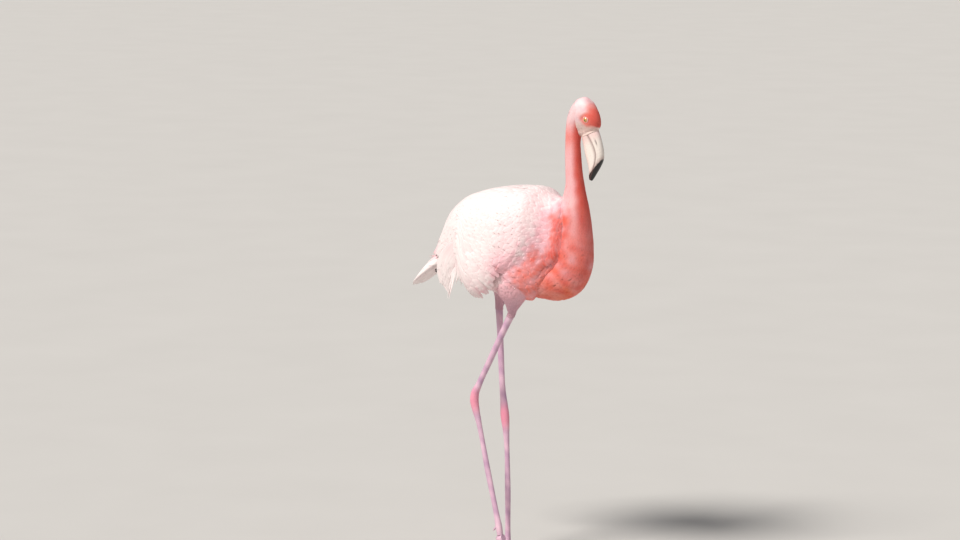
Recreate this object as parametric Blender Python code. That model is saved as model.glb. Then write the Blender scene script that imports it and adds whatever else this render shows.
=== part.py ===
"""An American flamingo, life size, as a still museum model: the solids of its body, wings, neck,
head, bill and legs.

The bird faces +X with +Z up, and its left side is at +Y. It stands on its left foot, and the right
leg swings forward with only the tip of its middle toe on the floor. Every outline is a loft through
a few stations in millimetres; the meshes are in metres. The last step sets the origin under the
middle of the bounding box, at floor level."""

import math

import bmesh
import bpy
import numpy as np
from mathutils import Vector

MM = 0.001
GAP = 0.3  # clearance between neighbouring pieces
CUT_GAP = 0.5  # how far a cutter stands off the solid that it copies

# ---- driving dimensions, in millimetres ----
STANDING_FOOT = (-2.8, 18.0)  # where the left foot's hub meets the floor
HUB_HEIGHT = 15.0
TOE_LENGTHS = {"inner": 66.0, "middle": 82.0, "outer": 74.0}
TOE_ANGLES = {"inner": 33.0, "middle": 0.0, "outer": -34.0}  # degrees, inner towards the midline
TOE_HALF_WIDTH = 4.6
WEB_REACH = 0.62  # how far out the web's edge lies between two toes
WEB_THICKNESS = 1.6
STEPPING_FOOT = (12.1, -42.0)  # x and y of the raised foot's hub
STEPPING_SPREAD = 0.35  # how far its toes spread, against those of the standing foot
STEPPING_TOE_SLOPE = 66.0  # degrees that the raised foot's toes point down
STEPPING_TOE_BEND = (40.0, 80.0)  # where along the toes that slope levels out

HEAD_PITCH = 67.0  # degrees that the head's axis points below the horizon
BILL_BASE = (235.0, 1019.5)  # x and z of the middle of the bill's base
EYE_RADIUS = 6.4
EYE_PLACE = (-29.0, 11.0)  # along and above the head's axis, from the bill's base
EYE_OUT = 17.6  # the eye's centre from the midline

WING_FRONT, WING_REAR = 128.0, -168.0
WING_RELIEF = 10.0  # how far the folded wing stands off the trunk
LOBE_DROP = 18.0  # how much further its lower rear lobe stands off

# Each station is x, y, z, half width, rise above the line and drop below it.
TRUNK = (
    (-186, 0, 704, 4, 4, 4),
    (-180, 0, 710, 18, 20, 16),
    (-164, 0, 722, 33, 44, 30),
    (-138, 0, 736, 52, 77, 56),
    (-100, 0, 748, 73, 97, 82),
    (-45, 0, 752, 92, 118, 112),
    (10, 0, 752, 98, 130, 122),
    (60, 0, 752, 96, 134, 122),
    (100, 0, 752, 88, 132, 112),
    (128, 0, 752, 76, 119, 94),
    (144, 0, 754, 63, 108, 70),
    (160, 0, 757, 52, 99, 54),
    (176, 0, 763, 40, 84, 40),
    (186, 0, 767, 24, 58, 24),
    (190, 0, 769, 7, 18, 8),
)
# The surface that the folded wings lie on: the trunk, drawn out to the rear.
MANTLE = (
    (-190, 0, 698, 28, 14, 14),
    (-164, 0, 714, 41, 42, 32),
    (-138, 0, 732, 53, 76, 56),
    *TRUNK[4:10],
)
SQUARENESS = 1.2  # 1 makes a section an ellipse, and more makes it squarer
NECK = (
    (40, 0, 722, 44, 44, 44),
    (95, 0, 690, 50, 42, 48),
    (138, 0, 675, 50, 36, 51),
    (172, 0, 686, 46, 36, 51),
    (193, 0, 716, 43, 37, 46),
    (199, 0, 756, 40, 38, 41),
    (200, 0, 795, 35.5, 35.5, 36),
    (199, 0, 829, 31.5, 31.5, 31.5),
    (197, 0, 859, 28, 28, 28),
    (194, 0, 892, 24.5, 24.5, 24.5),
    (190.5, 0, 925, 22, 22, 22),
    (188, 0, 960, 20.5, 21, 21),
    (187, 0, 1000, 19, 19.5, 19.5),
    (188.5, 0, 1029, 19, 19.5, 19.5),
    (195, 0, 1052, 20.5, 21.5, 20),
    (208, 0, 1067, 21.5, 22, 20),
    (225, 0, 1072, 21, 21, 20),
)
# Where the neck is parted, as shares of its length.
NECK_CUTS = {"neck_base": (0.0, 0.33), "neck_lower": (0.33, 0.53), "neck_middle": (0.53, 0.73),
             "neck_upper": (0.73, 1.0)}
# The head's stations run along its own axis: along, above, half width, rise and drop.
HEAD = (
    (-79, 9, 4, 4, 4),
    (-75, 9, 12, 12, 13),
    (-63, 8, 19, 21, 23),
    (-46, 7, 22.5, 27, 29),
    (-30, 6, 23, 29.5, 30),
    (-15, 3, 20.5, 28.5, 29),
    (-5, 0, 17, 23.5, 26.5),
    (3, 0, 15.5, 20.5, 25.5),
)
# The bill's profile on the same axis: the culmen, the gape line and the chin line.
CULMEN = ((3.7, 20.4), (20, 19.4), (40, 17), (58, 12.6), (71, 5), (82, -8), (91, -21), (99, -33), (102, -38.5))
GAPE = ((3.7, -2), (20, 1.5), (38, 3), (53, 0.5), (65, -7), (75, -16), (84, -26), (93, -36), (99.5, -41))
CHIN = ((3.7, -25), (20, -28.5), (40, -32), (56, -33.5), (67, -34.5), (76, -36), (85, -39.5), (93, -43),
        (97.5, -44))
BILL_HALF_WIDTHS = (14.4, 14.0, 13.4, 12.6, 11.6, 10.2, 8.4, 6.0, 3.0)

THIGH_RIGHT = (
    (64, -46, 735, 22, 36, 36),
    (62, -54, 690, 27, 40, 40),
    (58, -52, 650, 25, 36, 36),
    (52, -44, 624, 19, 27, 25),
    (45, -36, 604, 13, 15.5, 15.5),
    (41.4, -31.3, 593, 9.9, 10.6, 10.6),
    (38.8, -31.1, 588, 9.6, 10.2, 10.2),
)
THIGH_LEFT = (
    (-30, 44, 735, 22, 36, 34),
    (-30, 52, 690, 27, 40, 38),
    (-30, 48, 652, 25, 36, 36),
    (-32, 38, 626, 19, 26, 25),
    (-34, 30.5, 606, 13, 15.5, 15),
    (-34.8, 27.8, 594, 9.9, 10.6, 10.6),
    (-34.5, 27.7, 588, 9.6, 10.2, 10.2),
)
LEG_RIGHT = (
    (38.5, -31, 587.4, 8.6, 9, 9),
    (24, -31.6, 560, 7.6, 8.2, 8.2),
    (-17, -33, 480, 6.8, 7.6, 7.6),
    (-51, -34.4, 413, 7.2, 8.2, 8.2),
    (-60, -34.8, 395, 9, 10.4, 9.8),
    (-62, -35, 379, 9.6, 11.2, 10.2),
    (-58, -35, 358, 8.4, 9.6, 9.2),
    (-51.5, -34.8, 335, 6.6, 7.6, 7.4),
    (-20, -38, 210, 6.3, 7.2, 7),
    (8, -41.2, 106, 6.5, 7.4, 7.2),
    (12.8, -41.8, 88, 7.7, 8, 8.4),
    (16.8, -42, 68, 7.4, 7, 7.4),
)
LEG_LEFT = (
    (-34.5, 27.7, 587.4, 8.6, 9, 9),
    (-33, 27.4, 560, 7.6, 8.2, 8.2),
    (-29, 26.6, 480, 6.8, 7.6, 7.6),
    (-22, 25.6, 385, 7, 8, 8),
    (-18.5, 25.2, 358, 8.6, 9.6, 9.6),
    (-16.5, 25, 336, 9.8, 11, 10.6),
    (-14, 24.6, 316, 8.4, 9.6, 9.2),
    (-11.5, 24, 290, 6.6, 7.6, 7.4),
    (-6, 22, 160, 6.3, 7.2, 7),
    (-3.6, 19, 45, 6.5, 7.4, 7.2),
    (-3, 18.2, 25, 7.6, 8.4, 8.4),
    (-2.8, 18, HUB_HEIGHT + GAP, 7.8, 8.6, 8.6),
)
LEG_CUTS = {"shin": (0.0, 0.445), "tarsus": (0.445, 1.0)}
# Each hind toe starts behind its heel: x, y, z and the degrees that it points below the horizon.
HIND_TOES = {"left": (-7.8, 18.0, 22.0, 28.0), "right": (8.8, -41.8, 90.0, 50.0)}

TAIL = (
    (-140, 0, 712, 24, 14, 22),
    (-165, 0, 698, 31, 14, 24),
    (-195, 0, 678, 36, 12, 20),
    (-222, 0, 656, 38, 8, 12),
    (-238, 0, 642, 35, 4, 5),
    (-247, 0, 634, 24, 2, 2),
)
PLUME = (  # the drooping tertials, on the right side
    (-60, -88, 755, 2.5, 18, 18),
    (-92, -83, 725, 3.5, 24, 26),
    (-112, -76, 695, 3.5, 22, 28),
    (-117, -68, 664, 3, 18, 25),
    (-118, -63, 643, 2, 11, 17),
    (-118, -60, 631, 1.2, 4, 6),
)
FLIGHT = (  # the folded flight feathers, which show below the right wing's rear edge
    (-58, -78, 712, 2.5, 12, 12),
    (-95, -69, 698, 3, 14, 14),
    (-125, -59, 687, 2.5, 13, 12),
    (-150, -50, 680, 2, 9, 8),
    (-168, -44, 675, 1, 3, 3),
)

COLOURS = {
    "pale_plumage": (0.86, 0.50, 0.46),
    "coral_plumage": (0.80, 0.19, 0.11),
    "black_plumage": (0.012, 0.010, 0.011),
    "bill_pale": (0.86, 0.72, 0.62),
    "leg_skin": (0.52, 0.30, 0.36),
    "eye": (0.75, 0.55, 0.14),
    "claw": (0.03, 0.022, 0.022),
}
ROUGHNESS = {"eye": 0.08, "bill_pale": 0.35, "claw": 0.4, "leg_skin": 0.5}


# ---- tools ----
def clear_scene():
    for old in list(bpy.data.objects):
        bpy.data.objects.remove(old)


def material(name):
    found = bpy.data.materials.get(name)
    if found:
        return found
    made = bpy.data.materials.new(name)
    made.use_nodes = True
    shader = made.node_tree.nodes["Principled BSDF"]
    shader.inputs["Base Color"].default_value = (*COLOURS[name], 1)
    shader.inputs["Roughness"].default_value = ROUGHNESS.get(name, 0.7)
    return made


def solid(name, points, faces, finish):
    """A named object of its own from points in millimetres, with its faces turned outwards."""
    mesh = bpy.data.meshes.new(name)
    mesh.from_pydata((np.asarray(points, float) * MM).tolist(), [], faces)
    shape = bmesh.new()
    shape.from_mesh(mesh)
    bmesh.ops.triangulate(shape, faces=shape.faces)  # so that a cutter has the same facets as its solid
    bmesh.ops.recalc_face_normals(shape, faces=shape.faces)
    if shape.calc_volume(signed=True) < 0:
        bmesh.ops.reverse_faces(shape, faces=shape.faces)
    shape.to_mesh(mesh)
    shape.free()
    mesh.shade_smooth()
    mesh.set_sharp_from_angle(angle=math.radians(50))
    mesh.materials.append(material(finish))
    made = bpy.data.objects.new(name, mesh)
    bpy.context.scene.collection.objects.link(made)
    return made


def curve_through(knots, values, at):
    """A smooth curve through values at the knots, with each knot's slope taken from its neighbours."""
    knots, values, at = (np.asarray(v, float) for v in (knots, values, at))
    slopes = np.gradient(values, knots, axis=0)
    span = np.clip(np.searchsorted(knots, at, side="right") - 1, 0, len(knots) - 2)
    length = knots[span + 1] - knots[span]
    t = (at - knots[span]) / length
    t, length = t[:, None], length[:, None]
    return (
        (1 + 2 * t) * (1 - t) ** 2 * values[span]
        + t * (1 - t) ** 2 * length * slopes[span]
        + t * t * (3 - 2 * t) * values[span + 1]
        + t * t * (t - 1) * length * slopes[span + 1]
    )


def distances(points):
    """How far along its line each point is, from 0 to the line's length."""
    steps = np.linalg.norm(np.diff(points, axis=0), axis=1)
    return np.concatenate([[0.0], np.cumsum(steps)])


def swell(wave, squareness):
    """A sine or cosine with its shoulders pushed out."""
    return np.sign(wave) * np.abs(wave) ** (1 / squareness)


def rings_through(stations, shares, sides, upright=False, squareness=1.0):
    """Rings of points round a smooth line through the stations, at these shares of its length.

    A ring is half an ellipse above the line and half an ellipse below it. Its up is square to the
    line and to the side direction; with upright the rings stand in vertical planes."""
    stations = np.asarray(stations, float)
    knots = distances(stations[:, :3])
    at = np.asarray(shares, float) * knots[-1]
    found = curve_through(knots, stations, at)
    step = 0.01 * knots[-1]
    ahead = curve_through(knots, stations[:, :3], np.minimum(at + step, knots[-1]))
    behind = curve_through(knots, stations[:, :3], np.maximum(at - step, 0.0))
    along = ahead - behind
    if upright:
        along = np.tile([np.sign(along[:, 0].mean()), 0.0, 0.0], (len(at), 1))
    along /= np.linalg.norm(along, axis=1)[:, None]
    side = np.array([0.0, 1.0, 0.0]) - along * along[:, 1:2]
    side /= np.linalg.norm(side, axis=1)[:, None]
    up = np.cross(along, side)
    angle = 2 * math.pi * np.arange(sides) / sides
    wide = np.outer(found[:, 3], swell(np.cos(angle), squareness))
    high = np.where(np.sin(angle) > 0, found[:, 4:5], found[:, 5:6]) * swell(np.sin(angle), squareness)
    return (
        found[:, None, :3]
        + wide[:, :, None] * side[:, None, :]
        + high[:, :, None] * up[:, None, :]
    )


def tube_faces(rings, sides):
    """Faces of a closed tube: quads between rings and a flat face at each end."""
    faces = [list(range(sides)), [(rings - 1) * sides + k for k in range(sides)]]
    for row in range(rings - 1):
        for k in range(sides):
            a, b = row * sides + k, row * sides + (k + 1) % sides
            faces.append([a, b, b + sides, a + sides])
    return faces


def loft(name, stations, count, sides, finish, start=0.0, end=1.0, gap=0.0, **shape):
    """A closed tube through stations, between two shares of its length, shortened by gap at each cut."""
    total = distances(np.asarray(stations, float)[:, :3])[-1]
    first = start + (gap / 2 / total if start > 0 else 0)
    last = end - (gap / 2 / total if end < 1 else 0)
    rings = rings_through(stations, np.linspace(first, last, count), sides, **shape)
    return solid(name, rings.reshape(-1, 3), tube_faces(count, sides), finish)


def cut_away(piece, *others):
    """Takes the room of the other solids, and a small gap, out of a piece."""
    for other in others:
        helper_name = "cutter_" + other.name
        helper = bpy.data.objects.get(helper_name)
        if helper is None:
            mesh = other.data.copy()
            for point in mesh.vertices:
                point.co = point.co + point.normal * CUT_GAP * MM
            helper = bpy.data.objects.new(helper_name, mesh)
            helper.hide_render = True
            helper.display_type = "WIRE"
            bpy.context.scene.collection.objects.link(helper)
        cut = piece.modifiers.new("room_for_" + other.name, "BOOLEAN")
        cut.operation = "DIFFERENCE"
        cut.solver = "EXACT"
        cut.object = helper
    cut.use_self = True


def mirrored(points):
    return np.asarray(points, float) * [1, -1, 1]


def eased(x, low, high):
    """0 before low, 1 after high and a smooth step between."""
    t = np.clip((np.asarray(x, float) - low) / (high - low), 0, 1)
    return t * t * (3 - 2 * t)


# ---- trunk, wings and tail ----
def on_mantle(x, angle, lift):
    """Points on the surface that the wings lie on: angle is in degrees from the top down the right side,
    and lift is the distance off it."""
    table = np.asarray(MANTLE, float)
    found = curve_through(table[:, 0], table, x)
    turn = np.radians(angle)
    rise = np.where(turn < math.pi / 2, found[:, 4], found[:, 5])
    wide = swell(np.sin(turn), SQUARENESS) * (found[:, 3] + lift)
    high = swell(np.cos(turn), SQUARENESS) * (rise + lift)
    return np.stack([x, -wide, found[:, 2] + high], 1)


def sheet_on_mantle(name, xs, top, low, lift, sink, rows, finish, left):
    """A thick sheet on the mantle: a grid from front to rear and from its top edge to its lower edge,
    standing lift off the surface and sinking sink below it, where the trunk is then cut away."""
    count = len(xs)
    outer, inner = [], []
    for share in np.linspace(0, 1, rows):
        angle = top + (low - top) * share
        outer.append(on_mantle(xs, angle, lift(share)))
        inner.append(on_mantle(xs, angle, -sink))
    points = np.concatenate([np.concatenate(outer), np.concatenate(inner)])
    layer = rows * count
    faces = []
    for row in range(rows - 1):
        for k in range(count - 1):
            a = row * count + k
            faces.append([a, a + 1, a + count + 1, a + count])
            faces.append([layer + v for v in (a, a + count, a + count + 1, a + 1)])
    for k in range(count - 1):
        for a, b in ((k, k + 1), (layer - count + k, layer - count + k + 1)):
            faces.append([a, layer + a, layer + b, b])
    for row in range(rows - 1):
        for end in (0, count - 1):
            a, b = row * count + end, (row + 1) * count + end
            faces.append([a, b, layer + b, layer + a])
    return solid(name, mirrored(points) if left else points, faces, finish)


def wing_low_edge(x):
    """The wing's lower edge, in degrees down from the top of the back, at each x."""
    forward = 84 + 62 * eased(-x, -WING_FRONT, 40.0)
    return forward - 31 * eased(-x, 42.0, 72.0) - 13 * eased(-x, 100.0, -WING_REAR)


def wing(name, trunk, left):
    share = np.linspace(0, 1, 15)
    xs = WING_FRONT + (WING_REAR - WING_FRONT) * share
    bulge = 1.5 + WING_RELIEF * eased(share, -0.05, 0.12) * (1 - 0.75 * eased(share, 0.62, 1.0))
    lobe = LOBE_DROP * eased(-xs, -60.0, 30.0) * (1 - eased(-xs, 42.0, 72.0))
    top = 22 - 12 * eased(share, 0.0, 0.5) + 26 * eased(share, 0.86, 1.0) + 22 * (1 - eased(share, 0.0, 0.10))
    low = wing_low_edge(xs) - 14 * (1 - eased(share, 0.0, 0.10))
    made = sheet_on_mantle(
        name, xs, top, low,
        lift=lambda v: bulge * (0.25 + 0.75 * eased(v, 0.0, 0.35)) + lobe * eased(v, 0.55, 1.0),
        sink=3.0, rows=8, finish="pale_plumage", left=left,
    )
    cut_away(made, trunk)
    return made


def on_side(stations, left):
    """Stations that are given for the right side, on either side."""
    return [(x, -y if left else y, z, *rest) for x, y, z, *rest in stations]


def body():
    trunk = loft("trunk", TRUNK, 23, 24, "pale_plumage", upright=True, squareness=SQUARENESS)
    tail = loft("tail", TAIL, 8, 12, "pale_plumage")
    cut_away(tail, trunk)
    solids = {"trunk": trunk}
    for side in ("left", "right"):
        left = side == "left"
        folded = wing("wing_" + side, trunk, left)
        flight = loft("flight_feathers_" + side, on_side(FLIGHT, left), 7, 8, "black_plumage")
        plume = loft("tertials_" + side, on_side(PLUME, left), 8, 10, "pale_plumage")
        cut_away(flight, trunk, folded)
        cut_away(plume, trunk, folded, flight)
        cut_away(tail, folded, flight)
        solids["wing_" + side] = folded
    return solids


def neck(trunk, head):
    for name, (start, end) in NECK_CUTS.items():
        count = 10 if name == "neck_base" else 7
        length = loft(name, NECK, count, 16, "coral_plumage", start, end, GAP)
        if name != "neck_upper":
            cut_away(length, trunk)
        if name == "neck_upper":
            cut_away(length, head)


# ---- head ----
def head_point(along, above, out=0.0):
    """A point given along the head's axis and above it, in the bird's own frame."""
    pitch = math.radians(HEAD_PITCH)
    x = BILL_BASE[0] + along * math.cos(pitch) + above * math.sin(pitch)
    z = BILL_BASE[1] - along * math.sin(pitch) + above * math.cos(pitch)
    return (x, out, z)


def ball(name, centre, radius, finish, segments=12, rings=8):
    angles = math.pi * np.arange(1, rings) / rings
    turn = 2 * math.pi * np.arange(segments) / segments
    points = [
        np.stack([np.sin(a) * np.cos(turn), np.full(segments, np.cos(a)), np.sin(a) * np.sin(turn)], 1)
        for a in angles
    ]
    points = np.concatenate(points) * radius + np.asarray(centre)
    return solid(name, points, tube_faces(rings - 1, segments), finish)


def half_bill(name, ridge, seam, finish, flat_gap):
    """One half of the bill: rings of half ellipses from the gape line out to the ridge line."""
    count, sides = 15, 13
    knots = np.linspace(0, 1, len(ridge))
    share = np.linspace(0, 1, count)
    outer = curve_through(knots, np.asarray(ridge, float), share)
    inner = curve_through(knots, np.asarray(seam, float), share)
    width = curve_through(knots, np.asarray(BILL_HALF_WIDTHS)[:, None], share)[:, 0]
    reach = outer - inner
    away = reach / np.linalg.norm(reach, axis=1)[:, None]
    inner = inner + away * flat_gap
    reach = outer - inner
    turn = np.linspace(0, math.pi, sides)
    points = []
    for k in range(count):
        for a in turn:
            along, above = inner[k] + reach[k] * math.sin(a) ** 0.85
            points.append(head_point(along, above, width[k] * math.cos(a)))
    return solid(name, points, tube_faces(count, sides), finish)


def head():
    stations = []
    for along, above, *sizes in HEAD:
        x, y, z = head_point(along, above)
        stations.append((x, y, z, *sizes))
    skull = loft("head", stations, 15, 20, "coral_plumage")
    for side, out in (("left", EYE_OUT), ("right", -EYE_OUT)):
        eye = ball("eye_" + side, head_point(*EYE_PLACE, out), EYE_RADIUS, "eye")
        cut_away(skull, eye)
    half_bill("bill_upper", CULMEN, GAPE, "bill_pale", GAP)
    half_bill("bill_lower", CHIN, GAPE, "bill_pale", GAP)
    return skull


# ---- legs and feet ----
def toe_angles(side):
    """Which way each toe points, in degrees from straight ahead towards the bird's left."""
    turn = -1.0 if side == "left" else STEPPING_SPREAD
    return {toe: angle * turn for toe, angle in TOE_ANGLES.items()}


def toe_flank(toe):
    """Half the angle that a toe's tip covers, in degrees, seen from the hub."""
    return math.degrees(TOE_HALF_WIDTH * 0.6 / TOE_LENGTHS[toe])


def sole_outline(degrees, angles):
    """How far the foot reaches in each direction: toes in front, webs between, the heel behind."""
    reach = np.full(len(degrees), 9.0)
    order = sorted(angles, key=angles.get)
    for low, high in zip(order, order[1:]):
        share = (degrees - angles[low]) / (angles[high] - angles[low])
        between = (share > 0) & (share < 1)
        share = np.clip(share, 0, 1)
        length = TOE_LENGTHS[low] * (1 - share) + TOE_LENGTHS[high] * share
        web = length * (1 - (1 - WEB_REACH) * np.sin(math.pi * share) ** 0.7)
        reach = np.where(between, web, reach)
    for toe, angle in angles.items():
        reach = np.where(np.abs(degrees - angle) <= 1.03 * toe_flank(toe), TOE_LENGTHS[toe], reach)
    return reach


def foot_directions(angles):
    """The directions that the foot's rays take: each toe's middle and flanks, the webs and the heel."""
    found = [50.0, 80.0, 115.0, 150.0, 180.0, -150.0, -115.0, -80.0, -50.0]
    for toe, angle in angles.items():
        found += [angle + k * toe_flank(toe) for k in (-2.2, -1, 0, 1, 2.2)]
    order = sorted(angles, key=angles.get)
    for low, high in zip(order, order[1:]):
        found += [angles[low] + (angles[high] - angles[low]) * share for share in (0.35, 0.5, 0.65)]
    return np.sort(found)


def foot_height(x, y, share, angles):
    """The top of the foot over its sole: the hub, the toes' ridges and the thin web."""
    height = np.full(x.shape, WEB_THICKNESS)
    for toe, angle in angles.items():
        a = math.radians(angle)
        along, off = x * math.cos(a) + y * math.sin(a), -x * math.sin(a) + y * math.cos(a)
        thick = 8.6 - 4.2 * np.clip(along / TOE_LENGTHS[toe], 0, 1)
        ridge = thick * np.exp(-((off / TOE_HALF_WIDTH) ** 2)) * (along > 0)
        height = np.maximum(height, ridge)
    hub = HUB_HEIGHT * (1 - eased(np.hypot(x, y), 8.9, 24.0))
    return np.maximum(height, hub) * np.where(share > 0.99, 0.55, 1.0)


def flat_place(points):
    return points + [*STANDING_FOOT, 0.0]


def stepping_place(points):
    """Bends a flat foot so that its toes point steeply down and only their tips lie on the floor."""
    bend_start, bend_end = STEPPING_TOE_BEND
    steps = np.linspace(-12.0, 100.0, 449)
    slope = np.radians(STEPPING_TOE_SLOPE) * (1 - eased(steps, bend_start, bend_end))
    width = steps[1] - steps[0]
    ahead = np.cumsum(np.cos(slope)) * width
    down = np.cumsum(np.sin(slope)) * width
    ahead -= np.interp(0.0, steps, ahead)
    down -= down[-1]
    x, y, z = points.T
    tilt = np.interp(x, steps, slope)
    return np.stack([
        STEPPING_FOOT[0] + np.interp(x, steps, ahead) + z * np.sin(tilt),
        STEPPING_FOOT[1] + y,
        -np.interp(x, steps, down) + z * np.cos(tilt),
    ], 1)


def foot(name, place, angles):
    degrees = foot_directions(angles)
    turn, reach = np.radians(degrees), sole_outline(degrees, angles)
    shares = np.array([0.0, 0.13, 0.28, 0.5, 0.75, 1.0])
    rays, steps = len(turn), len(shares)
    x = np.outer(shares, reach * np.cos(turn))
    y = np.outer(shares, reach * np.sin(turn))
    z = foot_height(x, y, shares[:, None], angles)
    top = np.stack([x, y, z], 2)[1:].reshape(-1, 3)
    low = np.stack([x, y, 0 * z], 2)[1:].reshape(-1, 3)
    layer = len(top)
    points = np.concatenate([top, low, [[0, 0, HUB_HEIGHT], [0, 0, 0]]])
    faces = []
    for row in range(steps - 2):
        for k in range(rays):
            a, b = row * rays + k, row * rays + (k + 1) % rays
            faces.append([a, b, b + rays, a + rays])
            faces.append([layer + v for v in (a + rays, b + rays, b, a)])
    for k in range(rays):
        a, b = k, (k + 1) % rays
        faces.append([2 * layer, b, a])
        faces.append([2 * layer + 1, layer + a, layer + b])
        rim = (steps - 2) * rays
        faces.append([rim + a, rim + b, layer + rim + b, layer + rim + a])
    return solid(name, place(points), faces, "leg_skin")


def small_loft(name, place, start, angle, line, finish):
    """A small tube on a foot, such as a claw: its stations are along, up, half width and half height."""
    turn = math.radians(angle)
    stations = [(start + a, 0.0, u, w, h, h) for a, u, w, h in line]
    rings = rings_through(stations, np.linspace(0, 1, 4), 6).reshape(-1, 3)
    x, y, z = rings.T
    spun = np.stack([x * math.cos(turn) - y * math.sin(turn), x * math.sin(turn) + y * math.cos(turn), z], 1)
    return solid(name, place(spun), tube_faces(4, 6), finish)


def hind_toe(side):
    x, y, z, slope = HIND_TOES[side]
    dx, dz = -math.cos(math.radians(slope)), -math.sin(math.radians(slope))
    sizes = ((0, 2.8), (8, 2.7), (13, 2.2), (18, 1.0))
    stations = [(x + a * dx, y, z + a * dz, r, r, r) for a, r in sizes]
    return loft("hind_toe_" + side, stations, 5, 8, "leg_skin")


def leg(side, stations, thigh_stations, place, body_solids):
    thigh = loft("thigh_" + side, thigh_stations, 9, 14, "pale_plumage")
    cut_away(thigh, body_solids["trunk"], body_solids["wing_" + side])
    parts = {
        part: loft(f"{part}_{side}", stations, 12, 10, "leg_skin", start, end, GAP)
        for part, (start, end) in LEG_CUTS.items()
    }
    angles = toe_angles(side)
    footprint = foot("foot_" + side, place, angles)
    if side == "right":  # the raised foot's heel points up into the tarsus
        cut_away(parts["tarsus"], footprint)
    cut_away(hind_toe(side), parts["tarsus"])
    for toe, angle in angles.items():
        claw = ((GAP, 2.6, 2.1, 1.9), (3, 2.8, 1.9, 1.8), (6, 2.6, 1.4, 1.3), (9.5, 1.6, 0.5, 0.5))
        small_loft(f"claw_{toe}_{side}", place, TOE_LENGTHS[toe], angle, claw, "claw")


# ---- the whole bird ----
def set_origin():
    """Moves every solid so that the origin is under the middle of the bounding box, on the floor."""
    pieces = [o for o in bpy.data.objects if o.type == "MESH"]
    shown = [o for o in pieces if not o.hide_render]
    corners = np.array([v.co[:] for o in shown for v in o.data.vertices])
    low, high = corners.min(0), corners.max(0)
    shift = Vector((-(low[0] + high[0]) / 2, -(low[1] + high[1]) / 2, -low[2]))
    for piece in pieces:
        piece.location = shift


def main():
    clear_scene()
    solids = body()
    neck(solids["trunk"], head())
    leg("right", LEG_RIGHT, THIGH_RIGHT, stepping_place, solids)
    leg("left", LEG_LEFT, THIGH_LEFT, flat_place, solids)
    set_origin()


main()
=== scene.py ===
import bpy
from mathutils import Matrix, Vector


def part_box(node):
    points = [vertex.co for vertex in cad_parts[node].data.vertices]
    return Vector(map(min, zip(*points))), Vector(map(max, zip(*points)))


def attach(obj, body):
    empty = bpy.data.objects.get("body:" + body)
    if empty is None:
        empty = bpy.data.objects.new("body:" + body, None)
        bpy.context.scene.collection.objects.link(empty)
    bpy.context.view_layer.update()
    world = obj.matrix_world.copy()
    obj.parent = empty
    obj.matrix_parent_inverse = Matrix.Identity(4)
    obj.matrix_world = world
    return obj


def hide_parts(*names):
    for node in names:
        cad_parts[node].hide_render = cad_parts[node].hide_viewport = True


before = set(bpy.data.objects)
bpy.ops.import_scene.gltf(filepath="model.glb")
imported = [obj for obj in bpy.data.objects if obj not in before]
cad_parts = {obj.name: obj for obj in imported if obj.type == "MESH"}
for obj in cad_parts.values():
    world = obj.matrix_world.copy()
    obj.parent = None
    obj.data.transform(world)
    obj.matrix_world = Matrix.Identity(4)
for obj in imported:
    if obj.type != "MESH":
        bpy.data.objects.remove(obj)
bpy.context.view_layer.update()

import math

import bmesh
import bpy
import numpy as np
from mathutils import Vector

# An American flamingo, life size, in mid step: its skin, plumage, bill, eyes, legs and a plain studio.
# Lengths are in millimetres, in the bird's own frame: +X is ahead, +Y its left, the floor at z = 0.

rng = np.random.default_rng(31)
mm = 0.001
trunkLow, trunkHigh = (np.array(corner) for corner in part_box("trunk"))
trunkSpan = (-186.0, 190.0)  # the trunk's rear and front, which tie the bird's frame to the CAD's
shift = np.array([(trunkLow[0] + trunkHigh[0]) / 2 - mm * sum(trunkSpan) / 2, 0.0, 0.0])

pi, tau = math.pi, 2 * math.pi


# Small tools for curves and surfaces.

def eased(x, low, high):  # 0 before low, 1 after high, 3t^2 - 2t^3 between
    t = np.clip((np.asarray(x, float) - low) / (high - low), 0, 1)
    return t * t * (3 - 2 * t)


def bellOf(x, middle, reach):  # exp(-((x - middle) / reach)^2)
    return np.exp(-(((np.asarray(x, float) - middle) / reach) ** 2))


def blendOf(a, b, share):  # a + (b - a) share, for colours or points
    share = np.asarray(share, float)[..., None]
    return np.asarray(a, float) * (1 - share) + np.asarray(b, float) * share


def unit(v):
    return v / np.maximum(np.linalg.norm(v, axis=-1, keepdims=True), 1e-9)


def waviness(p, scale, seed):
    # A smooth wander between about -1 and 1: the mean of six sines along fixed random directions,
    # sin(k . p + phase), whose wavelengths are near scale.
    dice = np.random.default_rng(seed)
    total = np.zeros(p.shape[:-1])
    for _ in range(6):
        wave = unit(dice.normal(size=3)) * tau / (scale * dice.uniform(0.7, 1.5))
        total = total + np.sin(p @ wave + dice.uniform(0, tau))
    return total / 2.6


def curveThrough(knots, values, at):
    # A cubic Hermite curve through values at the knots, each slope taken from its neighbours.
    knots, values, at = (np.asarray(v, float) for v in (knots, values, at))
    slopes = np.gradient(values, knots, axis=0)
    span = np.clip(np.searchsorted(knots, at, side="right") - 1, 0, len(knots) - 2)
    length = (knots[span + 1] - knots[span])[..., None]
    t = (at - knots[span])[..., None] / length
    return (
        (1 + 2 * t) * (1 - t) ** 2 * values[span]
        + t * (1 - t) ** 2 * length * slopes[span]
        + t * t * (3 - 2 * t) * values[span + 1]
        + t * t * (t - 1) * length * slopes[span + 1]
    )


def distancesAlong(points):
    return np.concatenate([[0.0], np.cumsum(np.linalg.norm(np.diff(points, axis=0), axis=1))])


def swell(wave, squareness):  # |wave|^(1 / squareness) with the wave's sign: pushes the shoulders out
    return np.sign(wave) * np.abs(wave) ** (1 / squareness)


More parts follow.
